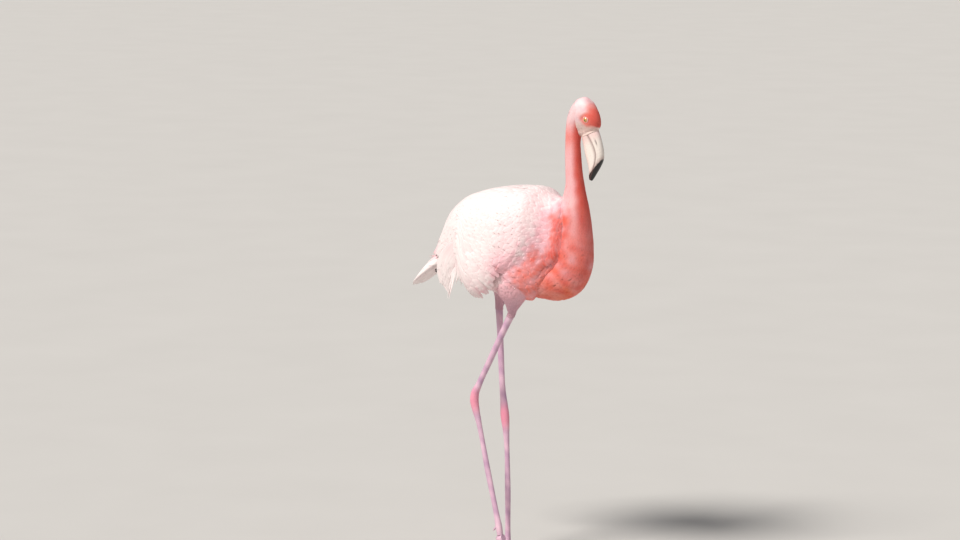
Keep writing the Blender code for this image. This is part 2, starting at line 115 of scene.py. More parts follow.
def between(pair, share):  # pair[0] at share 0 and pair[1] at share 1
    return pair[0] * (1 - share) + pair[1] * share


def tubeGrid(stations, rows, sides, upright=False, squareness=1.0):
    # Rings round a smooth line through the stations. At angle a a ring's point is the line's point
    # + cos(a) half width along the side + sin(a) rise (or drop, below) along the up direction.
    stations = np.asarray(stations, float)
    knots = distancesAlong(stations[:, :3])
    at = np.linspace(0, 1, rows) * knots[-1]
    found = curveThrough(knots, stations, at)
    step = 0.01 * knots[-1]
    along = (curveThrough(knots, stations[:, :3], np.minimum(at + step, knots[-1]))
             - curveThrough(knots, stations[:, :3], np.maximum(at - step, 0.0)))
    if upright:
        along = np.tile([np.sign(along[:, 0].mean()), 0.0, 0.0], (rows, 1))
    along = unit(along)
    side = unit(np.array([0.0, 1.0, 0.0]) - along * along[:, 1:2])
    up = np.cross(along, side)
    angle = tau * np.arange(sides) / sides
    wide = found[:, 3:4] * swell(np.cos(angle), squareness)
    high = np.where(np.sin(angle) > 0, found[:, 4:5], found[:, 5:6]) * swell(np.sin(angle), squareness)
    return found[:, None, :3] + wide[..., None] * side[:, None] + high[..., None] * up[:, None]


def surfaceOf(points, wraps=True):
    # A grid of points with its outward normals, the cross product of its two differences.
    if wraps:
        aroundStep = (np.roll(points, -1, 1) - np.roll(points, 1, 1)) / 2
        outward = points - points.mean(axis=1, keepdims=True)
    else:
        aroundStep = np.gradient(points, axis=1)
        outward = points * [0, 1, 0]
    normals = unit(np.cross(np.gradient(points, axis=0), aroundStep))
    if (outward * normals).sum() < 0:
        normals = -normals
    return {"points": points, "normals": normals, "wraps": wraps}


def sampleOf(surface, field, u, v):
    # Bilinear reading of the surface's points or normals at u from 0 to 1 and v from 0 to 1.
    grid = surface[field]
    rows, columns = grid.shape[:2]
    i = np.clip(u, 0, 1) * (rows - 1)
    row = np.minimum(i.astype(int), rows - 2)
    if surface["wraps"]:
        j = np.mod(v, 1.0) * columns
        column = j.astype(int) % columns
        beside = (column + 1) % columns
    else:
        j = np.clip(v, 0, 1) * (columns - 1)
        column = np.minimum(j.astype(int), columns - 2)
        beside = column + 1
    a, b = (i - row)[..., None], (j - np.floor(j) if surface["wraps"] else j - column)[..., None]
    near = grid[row, column] * (1 - b) + grid[row, beside] * b
    far = grid[row + 1, column] * (1 - b) + grid[row + 1, beside] * b
    return near * (1 - a) + far * a


# Meshes from arrays.

def gridFaces(rows, columns, wraps=False):
    across = columns if wraps else columns - 1
    row, column = np.meshgrid(np.arange(rows - 1), np.arange(across), indexing="ij")
    a = row * columns + column
    b = row * columns + (column + 1) % columns
    return np.stack([a, b, b + columns, a + columns], -1).reshape(-1, 4).astype(np.int32)


def paint(mesh, colours):  # linear colours for the mesh's points
    layer = mesh.color_attributes.new(name="plumage", type="FLOAT_COLOR", domain="POINT")
    rgba = np.concatenate([colours, np.ones((len(colours), 1))], 1)
    layer.data.foreach_set("color", rgba.astype(np.float32).ravel())


def addToScene(thing):
    bpy.context.scene.collection.objects.link(thing)
    return thing


def makePiece(name, points, quads, finish, colours=None, maps=None):
    mesh = bpy.data.meshes.new(name)
    mesh.vertices.add(len(points))
    mesh.vertices.foreach_set("co", (points * mm + shift).astype(np.float32).ravel())
    mesh.loops.add(quads.size)
    mesh.loops.foreach_set("vertex_index", quads.ravel())
    mesh.polygons.add(len(quads))
    mesh.polygons.foreach_set("loop_start", np.arange(0, quads.size, 4, dtype=np.int32))
    mesh.update(calc_edges=True)
    mesh.validate()
    mesh.polygons.foreach_set("use_smooth", np.ones(len(mesh.polygons), bool))
    if colours is not None:
        paint(mesh, colours)
    for mapName, coordinates in (maps or {}).items():
        corners = np.empty(len(mesh.loops), np.int32)
        mesh.loops.foreach_get("vertex_index", corners)
        layer = mesh.uv_layers.new(name=mapName)
        layer.data.foreach_set("uv", coordinates[corners].astype(np.float32).ravel())
    if finish:
        mesh.materials.append(finish)
    piece = addToScene(bpy.data.objects.new(name, mesh))
    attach(piece, "root")
    return piece


def closedTube(points):
    # A tube's grid with each end drawn in to a pole, and its faces.
    rows, sides = points.shape[:2]
    low, high = points[:1].mean(axis=1, keepdims=True), points[-1:].mean(axis=1, keepdims=True)
    capped = np.concatenate([np.repeat(low, sides, 1), points, np.repeat(high, sides, 1)])
    return capped.reshape(-1, 3), gridFaces(rows + 2, sides, wraps=True)


def tidyMesh(piece):
    # Merges points that coincide and turns every face outwards.
    mergeReach, shortestEdge = 0.02 * mm, 1e-7
    shape = bmesh.new()
    shape.from_mesh(piece.data)
    bmesh.ops.remove_doubles(shape, verts=shape.verts, dist=mergeReach)
    bmesh.ops.dissolve_degenerate(shape, edges=shape.edges, dist=shortestEdge)
    bmesh.ops.recalc_face_normals(shape, faces=shape.faces)
    shape.to_mesh(piece.data)
    shape.free()


# Colours and materials.

def toLinear(hexColour):  # sRGB hex to linear: ((c + 0.055) / 1.055)^2.4, or c / 12.92 near black
    c = np.array([int(hexColour[i:i + 2], 16) for i in (0, 2, 4)]) / 255
    return np.where(c <= 0.04045, c / 12.92, ((c + 0.055) / 1.055) ** 2.4)


def addNode(tree, kind, values=None, links=None, **settings):
    node = tree.nodes.new(kind)
    for key, value in settings.items():
        setattr(node, key, value)
    for key, value in (values or {}).items():
        node.inputs[key].default_value = value
    for key, socket in (links or {}).items():
        tree.links.new(socket, node.inputs[key])
    return node


def newFinish(name, **shaderValues):
    finish = bpy.data.materials.new(name)
    finish.use_nodes = True
    tree = finish.node_tree
    shader = tree.nodes["Principled BSDF"]
    for key, value in shaderValues.items():
        shader.inputs[key.replace("_", " ")].default_value = value
    return finish, tree, shader


def paintedFinish(name, **shaderValues):  # a finish in the piece's own plumage colours
    finish, tree, shader = newFinish(name, **shaderValues)
    colour = addNode(tree, "ShaderNodeAttribute", attribute_name="plumage")
    tree.links.new(colour.outputs["Color"], shader.inputs["Base Color"])
    return finish, tree, shader


def featherVane():
    # Vaned contour feather: keratin barbs lie side by side from the shaft, so it looks soft and matt,
    # with fine slanting lines and a paler fringe.
    barbSpacing, barbSlant = 0.9, 0.9  # mm; real barbs are about 0.4 mm apart, drawn coarser to show
    finish, tree, shader = paintedFinish("feather vane", Roughness=0.62, Sheen_Weight=0.2,
                                         Sheen_Roughness=0.5, Specular_IOR_Level=0.25)
    vane = addNode(tree, "ShaderNodeUVMap", uv_map="vane")  # across and along, in tenths of a metre
    parts = addNode(tree, "ShaderNodeSeparateXYZ", links={0: vane.outputs[0]})
    across = addNode(tree, "ShaderNodeMath", links={0: parts.outputs[0]}, operation="ABSOLUTE")
    slant = addNode(tree, "ShaderNodeMath", {1: -barbSlant}, {0: across.outputs[0]}, operation="MULTIPLY")
    run = addNode(tree, "ShaderNodeMath", links={0: parts.outputs[1], 1: slant.outputs[0]}, operation="ADD")
    turns = addNode(tree, "ShaderNodeMath", {1: 100 * tau / barbSpacing}, {0: run.outputs[0]},
                    operation="MULTIPLY")
    barbs = addNode(tree, "ShaderNodeMath", links={0: turns.outputs[0]}, operation="SINE")
    bump = addNode(tree, "ShaderNodeBump", {"Strength": 0.2, "Distance": 0.0001},
                   {"Height": barbs.outputs[0]})
    tree.links.new(shader.inputs["Base Color"].links[0].from_socket, shader.inputs["Sheen Tint"])
    tree.links.new(bump.outputs[0], shader.inputs["Normal"])
    return finish


def downySkin():
    # Skin under the plumage, set with down: dull and soft, in the plumage's own colours.
    finish, tree, shader = paintedFinish("downy skin", Roughness=0.85, Specular_IOR_Level=0.2)
    tuftWidth = 0.0022
    place = addNode(tree, "ShaderNodeTexCoord")
    down = addNode(tree, "ShaderNodeTexNoise", {"Scale": 1 / tuftWidth, "Detail": 3.0},
                   {0: place.outputs["Object"]})
    bump = addNode(tree, "ShaderNodeBump", {"Strength": 0.5, "Distance": 0.0006},
                   {"Height": down.outputs[0]})
    tree.links.new(bump.outputs[0], shader.inputs["Normal"])
    return finish


def scalyLegSkin():
    # Scutes of horny skin: waxy, with a low gloss on each plate and dull grooves between.
    finish, tree, shader = paintedFinish("scaly leg skin", Roughness=0.42, Specular_IOR_Level=0.4)
    scaleWidth = 0.0021
    place = addNode(tree, "ShaderNodeTexCoord")
    cells = addNode(tree, "ShaderNodeTexVoronoi", {"Scale": 1 / scaleWidth, "Randomness": 0.8},
                    {0: place.outputs["Object"]}, feature="DISTANCE_TO_EDGE")
    edge = addNode(tree, "ShaderNodeMapRange", {"From Max": 0.12}, {0: cells.outputs[0]})
    bump = addNode(tree, "ShaderNodeBump", {"Strength": 0.35, "Distance": 0.0003},
                   {"Height": edge.outputs[0]})
    dullness = addNode(tree, "ShaderNodeMapRange", {"To Min": 0.62, "To Max": 0.4}, {0: edge.outputs[0]})
    tree.links.new(dullness.outputs[0], shader.inputs["Roughness"])
    tree.links.new(bump.outputs[0], shader.inputs["Normal"])
    return finish


def billHorn():
    # Keratin of the bill: smooth and waxy, ivory at the base and black at the tip, with growth lines.
    finish, tree, shader = paintedFinish("bill horn", Roughness=0.3, Coat_Weight=0.25, Coat_Roughness=0.2)
    lineSpacing = 0.004
    place = addNode(tree, "ShaderNodeTexCoord")
    lines = addNode(tree, "ShaderNodeTexNoise", {"Scale": 1 / lineSpacing, "Detail": 4.0, "Distortion": 0.6},
                    {0: place.outputs["Object"]})
    bump = addNode(tree, "ShaderNodeBump", {"Strength": 0.12, "Distance": 0.0005},
                   {"Height": lines.outputs[0]})
    tree.links.new(bump.outputs[0], shader.inputs["Normal"])
    return finish


def wetEye():
    # The eye's wet front: a pale yellow iris round a black pupil, under a hard clear gloss.
    return paintedFinish("wet eye", Roughness=0.15, Coat_Weight=0.6, Coat_Roughness=0.02)[0]


def blackClaw():
    # Claw keratin, black and polished by wear.
    finish, tree, shader = newFinish("claw horn", Roughness=0.35)
    streakWidth = 0.002
    place = addNode(tree, "ShaderNodeTexCoord")
    streaks = addNode(tree, "ShaderNodeTexNoise", {"Scale": 1 / streakWidth, "Detail": 2.0},
                      {0: place.outputs["Object"]})
    ramp = addNode(tree, "ShaderNodeMix", {6: (*toLinear("1a1416"), 1), 7: (*toLinear("3a2c2e"), 1)},
                   {0: streaks.outputs[0]}, data_type="RGBA")
    tree.links.new(ramp.outputs[2], shader.inputs["Base Color"])
    return finish


plumageHues = {
    "blush": "faecea", "rose": "f6bcc4", "coral": "f27464", "deepCoral": "e0402f", "black": "161113",
    "orange": "f7865a", "face": "f8dcd2",
}
hue = {name: toLinear(code) for name, code in plumageHues.items()}


def bodyColour(p):
    # Near white on the back and wings. Ahead of a slanting line on the flank, x = 39 + 0.6 (z - 645),
    # it turns rose in patches and then coral; a deeper coral band where the breast faces the neck is
    # painted shade in the crease between them. The rump is rosy.
    x, z = p[..., 0], p[..., 2]
    ahead = x - 39 - 0.6 * (z - 645) + 19 * waviness(p, 56, 3) + 12 * waviness(p, 20, 4)
    colour = blendOf(hue["blush"], hue["rose"], 0.35 + 0.3 * waviness(p, 90, 5) * eased(z, 900, 640))
    colour = blendOf(hue["blush"], colour, eased(ahead, -130, -20))
    colour = blendOf(colour, hue["rose"], 0.75 * (1 - eased(x, -178, -158)) * eased(z, 690, 710))
    colour = blendOf(colour, hue["rose"], eased(ahead, -24, 8))
    colour = blendOf(colour, hue["coral"], eased(ahead, 2, 52) * (0.8 + 0.2 * waviness(p, 26, 6)))
    # painted shade: a deeper coral band in the crease where the breast faces the neck
    colour = blendOf(colour, hue["deepCoral"], 0.6 * bellOf(ahead, 62, 22) * eased(z, 690, 740))
    return blendOf(colour, neckColour(p), eased(ahead, 80, 120))


neckLine = (  # height, x of the neck's middle line, half width
    (716, 193, 43), (756, 199, 40), (795, 200, 35.5), (859, 197, 28), (925, 190.5, 22), (960, 188, 20.5),
    (1029, 188.5, 19), (1052, 195, 20.5), (1072, 214, 21),
)


def neckColour(p):
    # Pale rose at the nape and sides and coral red down the throat side: partly the neck's own colours
    # and partly painted light and shade, paler where the nape faces the key light and redder on the side
    # turned from it. The place across the neck is (x - the middle line's x) / half width. Below, on the
    # breast, it is coral in pink and orange patches.
    x, z = p[..., 0], p[..., 2]
    heights, middles, widths = np.array(neckLine, float).T
    front = (x - np.interp(z, heights, middles)) / np.interp(z, heights, widths) + 0.05 * waviness(p, 34, 8)
    up = eased(z, 740, 850)
    pale = blendOf(hue["rose"], hue["blush"], 0.22 + 0.12 * waviness(p, 40, 9))
    pale = blendOf(pale, hue["coral"], 0.26 + 0.5 * bellOf(z, 1006, 22))
    breast = blendOf(hue["coral"], hue["rose"], 0.3 + 0.3 * waviness(p, 38, 10))
    breast = blendOf(breast, hue["orange"], 0.55 * (1 - eased(z, 640, 700)))
    breast = blendOf(breast, hue["deepCoral"], 0.3 + 0.3 * waviness(p, 24, 13))
    pale = blendOf(breast, pale, up)
    red = blendOf(hue["coral"], hue["deepCoral"], 0.5 + 0.3 * up + 0.12 * waviness(p, 34, 12))
    # painted light and shade with the neck's colours: pale toward the nape that faces the light, red down the
    # throat side turned from it
    colour = blendOf(pale, red, eased(front, 0.15, 0.8) * (0.4 + 0.6 * up))
    crown = blendOf(hue["rose"], hue["blush"], 0.45)
    return blendOf(colour, crown, eased(z, 1028, 1056) * (1 - eased(front, 0.4, 0.9)))


print("tools ready")

# Stations: x, y, z of the middle line, half width, rise above it, drop below it.

trunkShape = {
    "squareness": 1.2,
    "stations": (
        (-186, 0, 704, 4, 4, 4), (-180, 0, 710, 18, 20, 16), (-164, 0, 722, 33, 44, 30),
        (-138, 0, 736, 52, 77, 56), (-100, 0, 748, 73, 97, 82), (-45, 0, 752, 92, 118, 112),
        (10, 0, 752, 98, 130, 122), (60, 0, 752, 96, 134, 122), (100, 0, 752, 88, 132, 112),
        (128, 0, 752, 76, 119, 94), (144, 0, 754, 63, 108, 70), (160, 0, 757, 52, 99, 54),
        (176, 0, 763, 40, 84, 40), (186, 0, 767, 24, 58, 24), (190, 0, 769, 7, 18, 8),
    ),
    "rearOfBack": ((-190, 0, 698, 28, 14, 14), (-164, 0, 714, 41, 42, 32), (-138, 0, 732, 53, 76, 56)),
    "coat": 13.0,  # how far the skin lies inside the plumage's outline
}
neckShape = {
    "stations": (
        (40, 0, 722, 44, 44, 44), (95, 0, 690, 50, 42, 48), (138, 0, 675, 50, 36, 51),
        (172, 0, 686, 46, 36, 51), (193, 0, 716, 43, 37, 46), (199, 0, 756, 40, 38, 41),
        (200, 0, 795, 35.5, 35.5, 36), (199, 0, 829, 31.5, 31.5, 31.5), (197, 0, 859, 28, 28, 28),
        (194, 0, 892, 24.5, 24.5, 24.5), (190.5, 0, 925, 22, 22, 22), (188, 0, 960, 20.5, 21, 21),
        (187, 0, 1000, 19, 19.5, 19.5), (188.5, 0, 1029, 19, 19.5, 19.5), (195, 0, 1052, 20.5, 21.5, 20),
        (208, 0, 1067, 21.5, 22, 20), (225, 0, 1072, 21, 21, 20),
    ),
    "coat": (11.0, 4.5),  # at the breast and at the head
}
headShape = {
    "pitch": 67.0,  # degrees that the bill's axis points down
    "billBase": (235.0, 1019.5),
    "stations": (  # along the axis, above it, half width, rise, drop
        (-79, 9, 4, 4, 4), (-75, 9, 12, 12, 13), (-63, 8, 19, 21, 23), (-46, 7, 22.5, 27, 29),
        (-30, 6, 23, 29.5, 30), (-15, 3, 20.5, 28.5, 29), (-5, 0, 17, 23.5, 26.5), (3.3, 0, 15.4, 20.4, 25.4),
    ),
    "coat": (2.2, 2.2, 2.2, 2.2, 2.2, 2.0, 1.5, 0.4),
    "middle": (-31.0, 9.5),  # where the head's rays start: between the eyes
}
eyeShape = {
    "place": (-29.0, 11.0), "out": 17.6, "radius": 6.4, "ahead": 0.12,  # how far it looks ahead
    "pupil": (0.29, 0.32), "iris": (0.3, 0.62), "rim": (0.62, 0.68),  # where each begins, as shares
    "lidRing": 5.85, "lidThick": 2.0, "lidHeight": 3.85,
}
thighShape = {
    "right": (
        (64, -46, 735, 22, 36, 36), (62, -54, 690, 27, 40, 40), (58, -52, 650, 25, 36, 36),
        (52, -44, 624, 19, 27, 25), (45, -36, 604, 13, 15.5, 15.5), (41.4, -31.3, 593, 9.9, 10.6, 10.6),
        (38.8, -31.1, 588, 9.6, 10.2, 10.2),
    ),
    "left": (
        (-30, 44, 735, 22, 36, 34), (-30, 52, 690, 27, 40, 38), (-30, 48, 652, 25, 36, 36),
        (-32, 38, 626, 19, 26, 25), (-34, 30.5, 606, 13, 15.5, 15), (-34.8, 27.8, 594, 9.9, 10.6, 10.6),
        (-34.5, 27.7, 588, 9.6, 10.2, 10.2),
    ),
    "skinInset": (5, 5, 5, 5, 4, 2, 1),
    "coatInset": (3, 3, 3, 3, 2.2, 1.2, 0.8),
}
legShape = {
    "right": (
        (38.5, -31, 587.4, 8.6, 9, 9), (24, -31.6, 560, 7.6, 8.2, 8.2), (-17, -33, 480, 6.8, 7.6, 7.6),
        (-51, -34.4, 413, 7.2, 8.2, 8.2), (-60, -34.8, 395, 9, 10.4, 9.8), (-62, -35, 379, 9.6, 11.2, 10.2),
        (-58, -35, 358, 8.4, 9.6, 9.2), (-51.5, -34.8, 335, 6.6, 7.6, 7.4), (-20, -38, 210, 6.3, 7.2, 7),
        (8, -41.2, 106, 6.5, 7.4, 7.2), (12.8, -41.8, 88, 7.7, 8, 8.4), (16.8, -42, 68, 7.4, 7, 7.4),
    ),
    "left": (
        (-34.5, 27.7, 587.4, 8.6, 9, 9), (-33, 27.4, 560, 7.6, 8.2, 8.2), (-29, 26.6, 480, 6.8, 7.6, 7.6),
        (-22, 25.6, 385, 7, 8, 8), (-18.5, 25.2, 358, 8.6, 9.6, 9.6), (-16.5, 25, 336, 9.8, 11, 10.6),
        (-14, 24.6, 316, 8.4, 9.6, 9.2), (-11.5, 24, 290, 6.6, 7.6, 7.4), (-6, 22, 160, 6.3, 7.2, 7),
        (-3.6, 19, 45, 6.5, 7.4, 7.2), (-3, 18.2, 25, 7.6, 8.4, 8.4), (-2.8, 18, 11, 7.8, 8.6, 8.6),
    ),
    "ankle": {"right": (-62, -35, 379), "left": (-16.5, 25, 336)},
    "scuteSpacing": 4.4, "scuteHeight": 0.35,
    "cuff": 588,  # the height where the thigh's feathers end
}
footShape = {
    "standing": (-2.8, 18.0), "stepping": (12.1, -42.0), "spread": 0.35, "slope": 66.0, "bend": (40.0, 80.0),
    "hub": 15.0, "heel": 9.0, "lengths": {"inner": 66.0, "middle": 82.0, "outer": 74.0},
    "angles": {"inner": 33.0, "middle": 0.0, "outer": -34.0}, "halfWidth": 4.6, "thickness": (8.6, 4.4),
    "web": 0.62, "webThick": 1.6, "scuteSpacing": 3.2,
    "hindToes": {"left": (-7.8, 18.0, 22.0, 28.0), "right": (8.8, -41.8, 90.0, 50.0)},
}
tailShape = (
    (-140, 0, 712, 24, 14, 22), (-165, 0, 698, 31, 14, 24), (-195, 0, 678, 36, 12, 20),
    (-222, 0, 656, 38, 8, 12), (-238, 0, 642, 35, 4, 5), (-247, 0, 634, 24, 2, 2),
)
wingShape = {"front": 128.0, "length": 296.0, "rest": 1.5, "swell": 10, "lobe": 18}
plumeShape = (
    (-60, -88, 755, 2.5, 18, 18), (-92, -83, 725, 3.5, 24, 26), (-112, -76, 695, 3.5, 22, 28),
    (-117, -68, 664, 3, 18, 25), (-118, -63, 643, 2, 11, 17), (-118, -60, 631, 1.2, 4, 6),
)
flightShape = (
    (-58, -78, 712, 2.5, 12, 12), (-95, -69, 698, 3, 14, 14), (-125, -59, 687, 2.5, 13, 12),
    (-150, -50, 680, 2, 9, 8), (-168, -44, 675, 1, 3, 3),
)


def onSide(stations, left):  # the same stations on the left side
    found = np.array(stations, float)
    found[:, 1] *= -1 if left else 1
    return found


def thinner(stations, by):  # stations whose sizes lose the coat's depth, but never over half of a size
    found = np.array(stations, float)
    by = np.broadcast_to(np.asarray(by, float).reshape(-1, 1), (len(found), 1))
    found[:, 3:] = np.maximum(found[:, 3:] - by, 0.5 * found[:, 3:])
    return found


def headPoint(along, above, out=0.0):  # a point given along the head's axis and above it
    along, above, out = np.broadcast_arrays(*(np.asarray(v, float) for v in (along, above, out)))
    pitch = math.radians(headShape["pitch"])
    x = headShape["billBase"][0] + along * math.cos(pitch) + above * math.sin(pitch)
    z = headShape["billBase"][1] - along * math.sin(pitch) + above * math.cos(pitch)
    return np.stack([x, out, z], -1)


def headPlace(p):  # how far along the head's axis and how far above it a point is
    pitch = math.radians(headShape["pitch"])
    ahead, over = p[..., 0] - headShape["billBase"][0], p[..., 2] - headShape["billBase"][1]
    return (ahead * math.cos(pitch) - over * math.sin(pitch),
            ahead * math.sin(pitch) + over * math.cos(pitch))


def eyeGap(along, above):  # the distance from the eye's middle, seen from the side
    return np.hypot(along - eyeShape["place"][0], above - eyeShape["place"][1])


def headStations():
    return np.array([(*headPoint(along, above), *sizes) for along, above, *sizes in headShape["stations"]])


def wingSwell(share):  # how far the bend of the wing stands off the flank
    return wingShape["swell"] * eased(share, -0.05, 0.12)


def wingEdge(x):  # the line of the wing's lower edge, in degrees from the top of the back
    return 84 + 62 * eased(-x, -128, 40)


def mantlePoint(x, angle, lift):
    # A point on the back and flanks that the wings lie on. The angle (degrees) runs from the top of the
    # back down the right side; lift is the distance off that surface.
    table = np.array((*trunkShape["rearOfBack"], *trunkShape["stations"][4:10]), float)
    found = curveThrough(table[:, 0], table, x)
    turn = np.radians(angle)
    rise = np.where(turn < pi / 2, found[..., 4], found[..., 5])
    wide = swell(np.sin(turn), trunkShape["squareness"]) * (found[..., 3] + lift)
    high = swell(np.cos(turn), trunkShape["squareness"]) * (rise + lift)
    return np.stack([x, -wide, found[..., 2] + high], -1)


def wingPoint(share, down, inset):
    # The right wing's outer surface: share runs from its front to its rear, down from its upper edge to
    # its lower one. It stands off the back by a bulge, and by a lobe where the lower edge hangs free.
    x = wingShape["front"] - wingShape["length"] * share
    bulge = wingShape["rest"] + wingSwell(share) * (1 - 0.75 * eased(share, 0.62, 1.0))
    lobe = wingShape["lobe"] * eased(-x, -60, 30) * (1 - eased(-x, 40, 84))
    opening = 1 - eased(share, 0, 0.1)
    top = 22 - 12 * eased(share, 0, 0.5) + 26 * eased(share, 0.86, 1) + 22 * opening
    low = wingEdge(x) - 31 * eased(-x, 42, 72) - 13 * eased(-x, 100, 168) - 14 * opening
    lift = bulge * (0.25 + 0.75 * eased(down, 0, 0.35)) + lobe * eased(down, 0.55, 1)
    return mantlePoint(x, top + (low - top) * down, lift - inset)


def wingSurface(left, inset):
    share, down = np.meshgrid(np.linspace(0, 1, 150), np.linspace(0, 1, 130), indexing="ij")
    points = wingPoint(share, down, inset)
    if left:
        points = points * [1, -1, 1]
    return surfaceOf(points, wraps=False)


def headSurface(inset):
    # The head as rays from its middle. Rows run from the right eye to the left one and columns round the
    # head, so both poles lie under the eyes. A ray's length is where it leaves the rings of the loft.
    rows, columns, evenings = 170, 200, 60
    tube = tubeGrid(thinner(headStations(), inset), 240, 240)
    middle = headPoint(*headShape["middle"])
    rays = tube.reshape(-1, 3) - middle
    reach = np.linalg.norm(rays, axis=1)
    along, above = headPlace(rays + middle)
    spin = np.mod(np.arctan2(above - headShape["middle"][1], along - headShape["middle"][0]), tau)
    lift = np.arcsin(np.clip(rays[:, 1] / reach, -1, 1))
    total, weight = np.zeros((rows, columns)), np.zeros((rows, columns))
    i = np.clip(np.rint((lift / pi + 0.5) * (rows - 1)).astype(int), 0, rows - 1)
    j = np.rint(spin / tau * columns).astype(int) % columns
    np.add.at(total, (i, j), reach)
    np.add.at(weight, (i, j), 1.0)
    for _ in range(evenings):  # fills and evens the table: each cell takes the mean of its neighbours
        padded = [np.pad(t, ((1, 1), (0, 0)), mode="edge") for t in (total, weight)]
        total, weight = (p[:-2] + p[2:] + np.roll(p[1:-1], 1, 1) + np.roll(p[1:-1], -1, 1) + 2 * p[1:-1]
                         for p in padded)
        total, weight = total / 6, weight / 6
    radius = total / np.maximum(weight, 1e-12)
    latitude, longitude = np.meshgrid((np.arange(rows) / (rows - 1) - 0.5) * pi,
                                      np.arange(columns) / columns * tau, indexing="ij")
    points = headPoint(
        headShape["middle"][0] + radius * np.cos(latitude) * np.cos(longitude),
        headShape["middle"][1] + radius * np.cos(latitude) * np.sin(longitude),
        radius * np.sin(latitude))
    return surfaceOf(points)


# Feathers.

bakeCharts = {  # where each region's unwrap lies: low u, low v, width, height
    "trunk": (0.0, 0.0, 0.48, 0.40), "rightWing": (0.5, 0.0, 0.24, 0.40), "leftWing": (0.75, 0.0, 0.24, 0.40),
    "neck": (0.0, 0.42, 0.30, 0.56), "head": (0.32, 0.42, 0.34, 0.34), "tail": (0.68, 0.42, 0.14, 0.26),
    "rightThigh": (0.83, 0.42, 0.08, 0.26), "leftThigh": (0.92, 0.42, 0.07, 0.26),
    "rightPlume": (0.32, 0.78, 0.10, 0.2), "leftPlume": (0.43, 0.78, 0.10, 0.2),
    "rightFlight": (0.54, 0.78, 0.10, 0.2), "leftFlight": (0.65, 0.78, 0.10, 0.2),
    "back": (0.76, 0.70, 0.22, 0.28),
}


def slopesOf(surface, u, v):  # how the surface's point moves with u and with v
    e = 0.004
    uIn = np.clip(u, e, 1 - e)
    vIn = v if surface["wraps"] else np.clip(v, e, 1 - e)
    return ((sampleOf(surface, "points", uIn + e, v) - sampleOf(surface, "points", uIn - e, v)) / (2 * e),
            (sampleOf(surface, "points", u, vIn + e) - sampleOf(surface, "points", u, vIn - e)) / (2 * e))


def rootRows(surface, spacing, bounds):
    # Roots in quincunx: rows a spacing apart along u, each with its roots a spacing apart along v, and
    # every other row moved on by half a step. spacing(u, p) gives both distances in millimetres. The
    # bounds are the lowest and highest u, then the same for v.
    jitter, samples = 0.32, 90
    lowU, highU, lowV, highV = bounds
    us, vs, u, row = [], [], lowU, 0
    while u < highU:
        v = np.linspace(lowV, highV, samples)
        ring = sampleOf(surface, "points", np.full(samples, u), v)
        alongU, _ = slopesOf(surface, np.full(samples, u), v)
        ahead, beside = spacing(u, ring)
        girth = distancesAlong(ring)
        count = max(int(girth[-1] / np.mean(beside)), 1)
        place = (np.arange(count) + 0.5 * (row % 2) + rng.uniform(-jitter, jitter, count)) / count
        step = np.mean(ahead) / max(np.mean(np.linalg.norm(alongU, axis=1)), 1e-6)
        vs.append(np.interp(np.mod(place, 1) * girth[-1], girth, v))
        us.append(np.full(count, u) + rng.uniform(-jitter, jitter, count) * step)
        u, row = u + step, row + 1
    return np.concatenate(us), np.concatenate(vs)


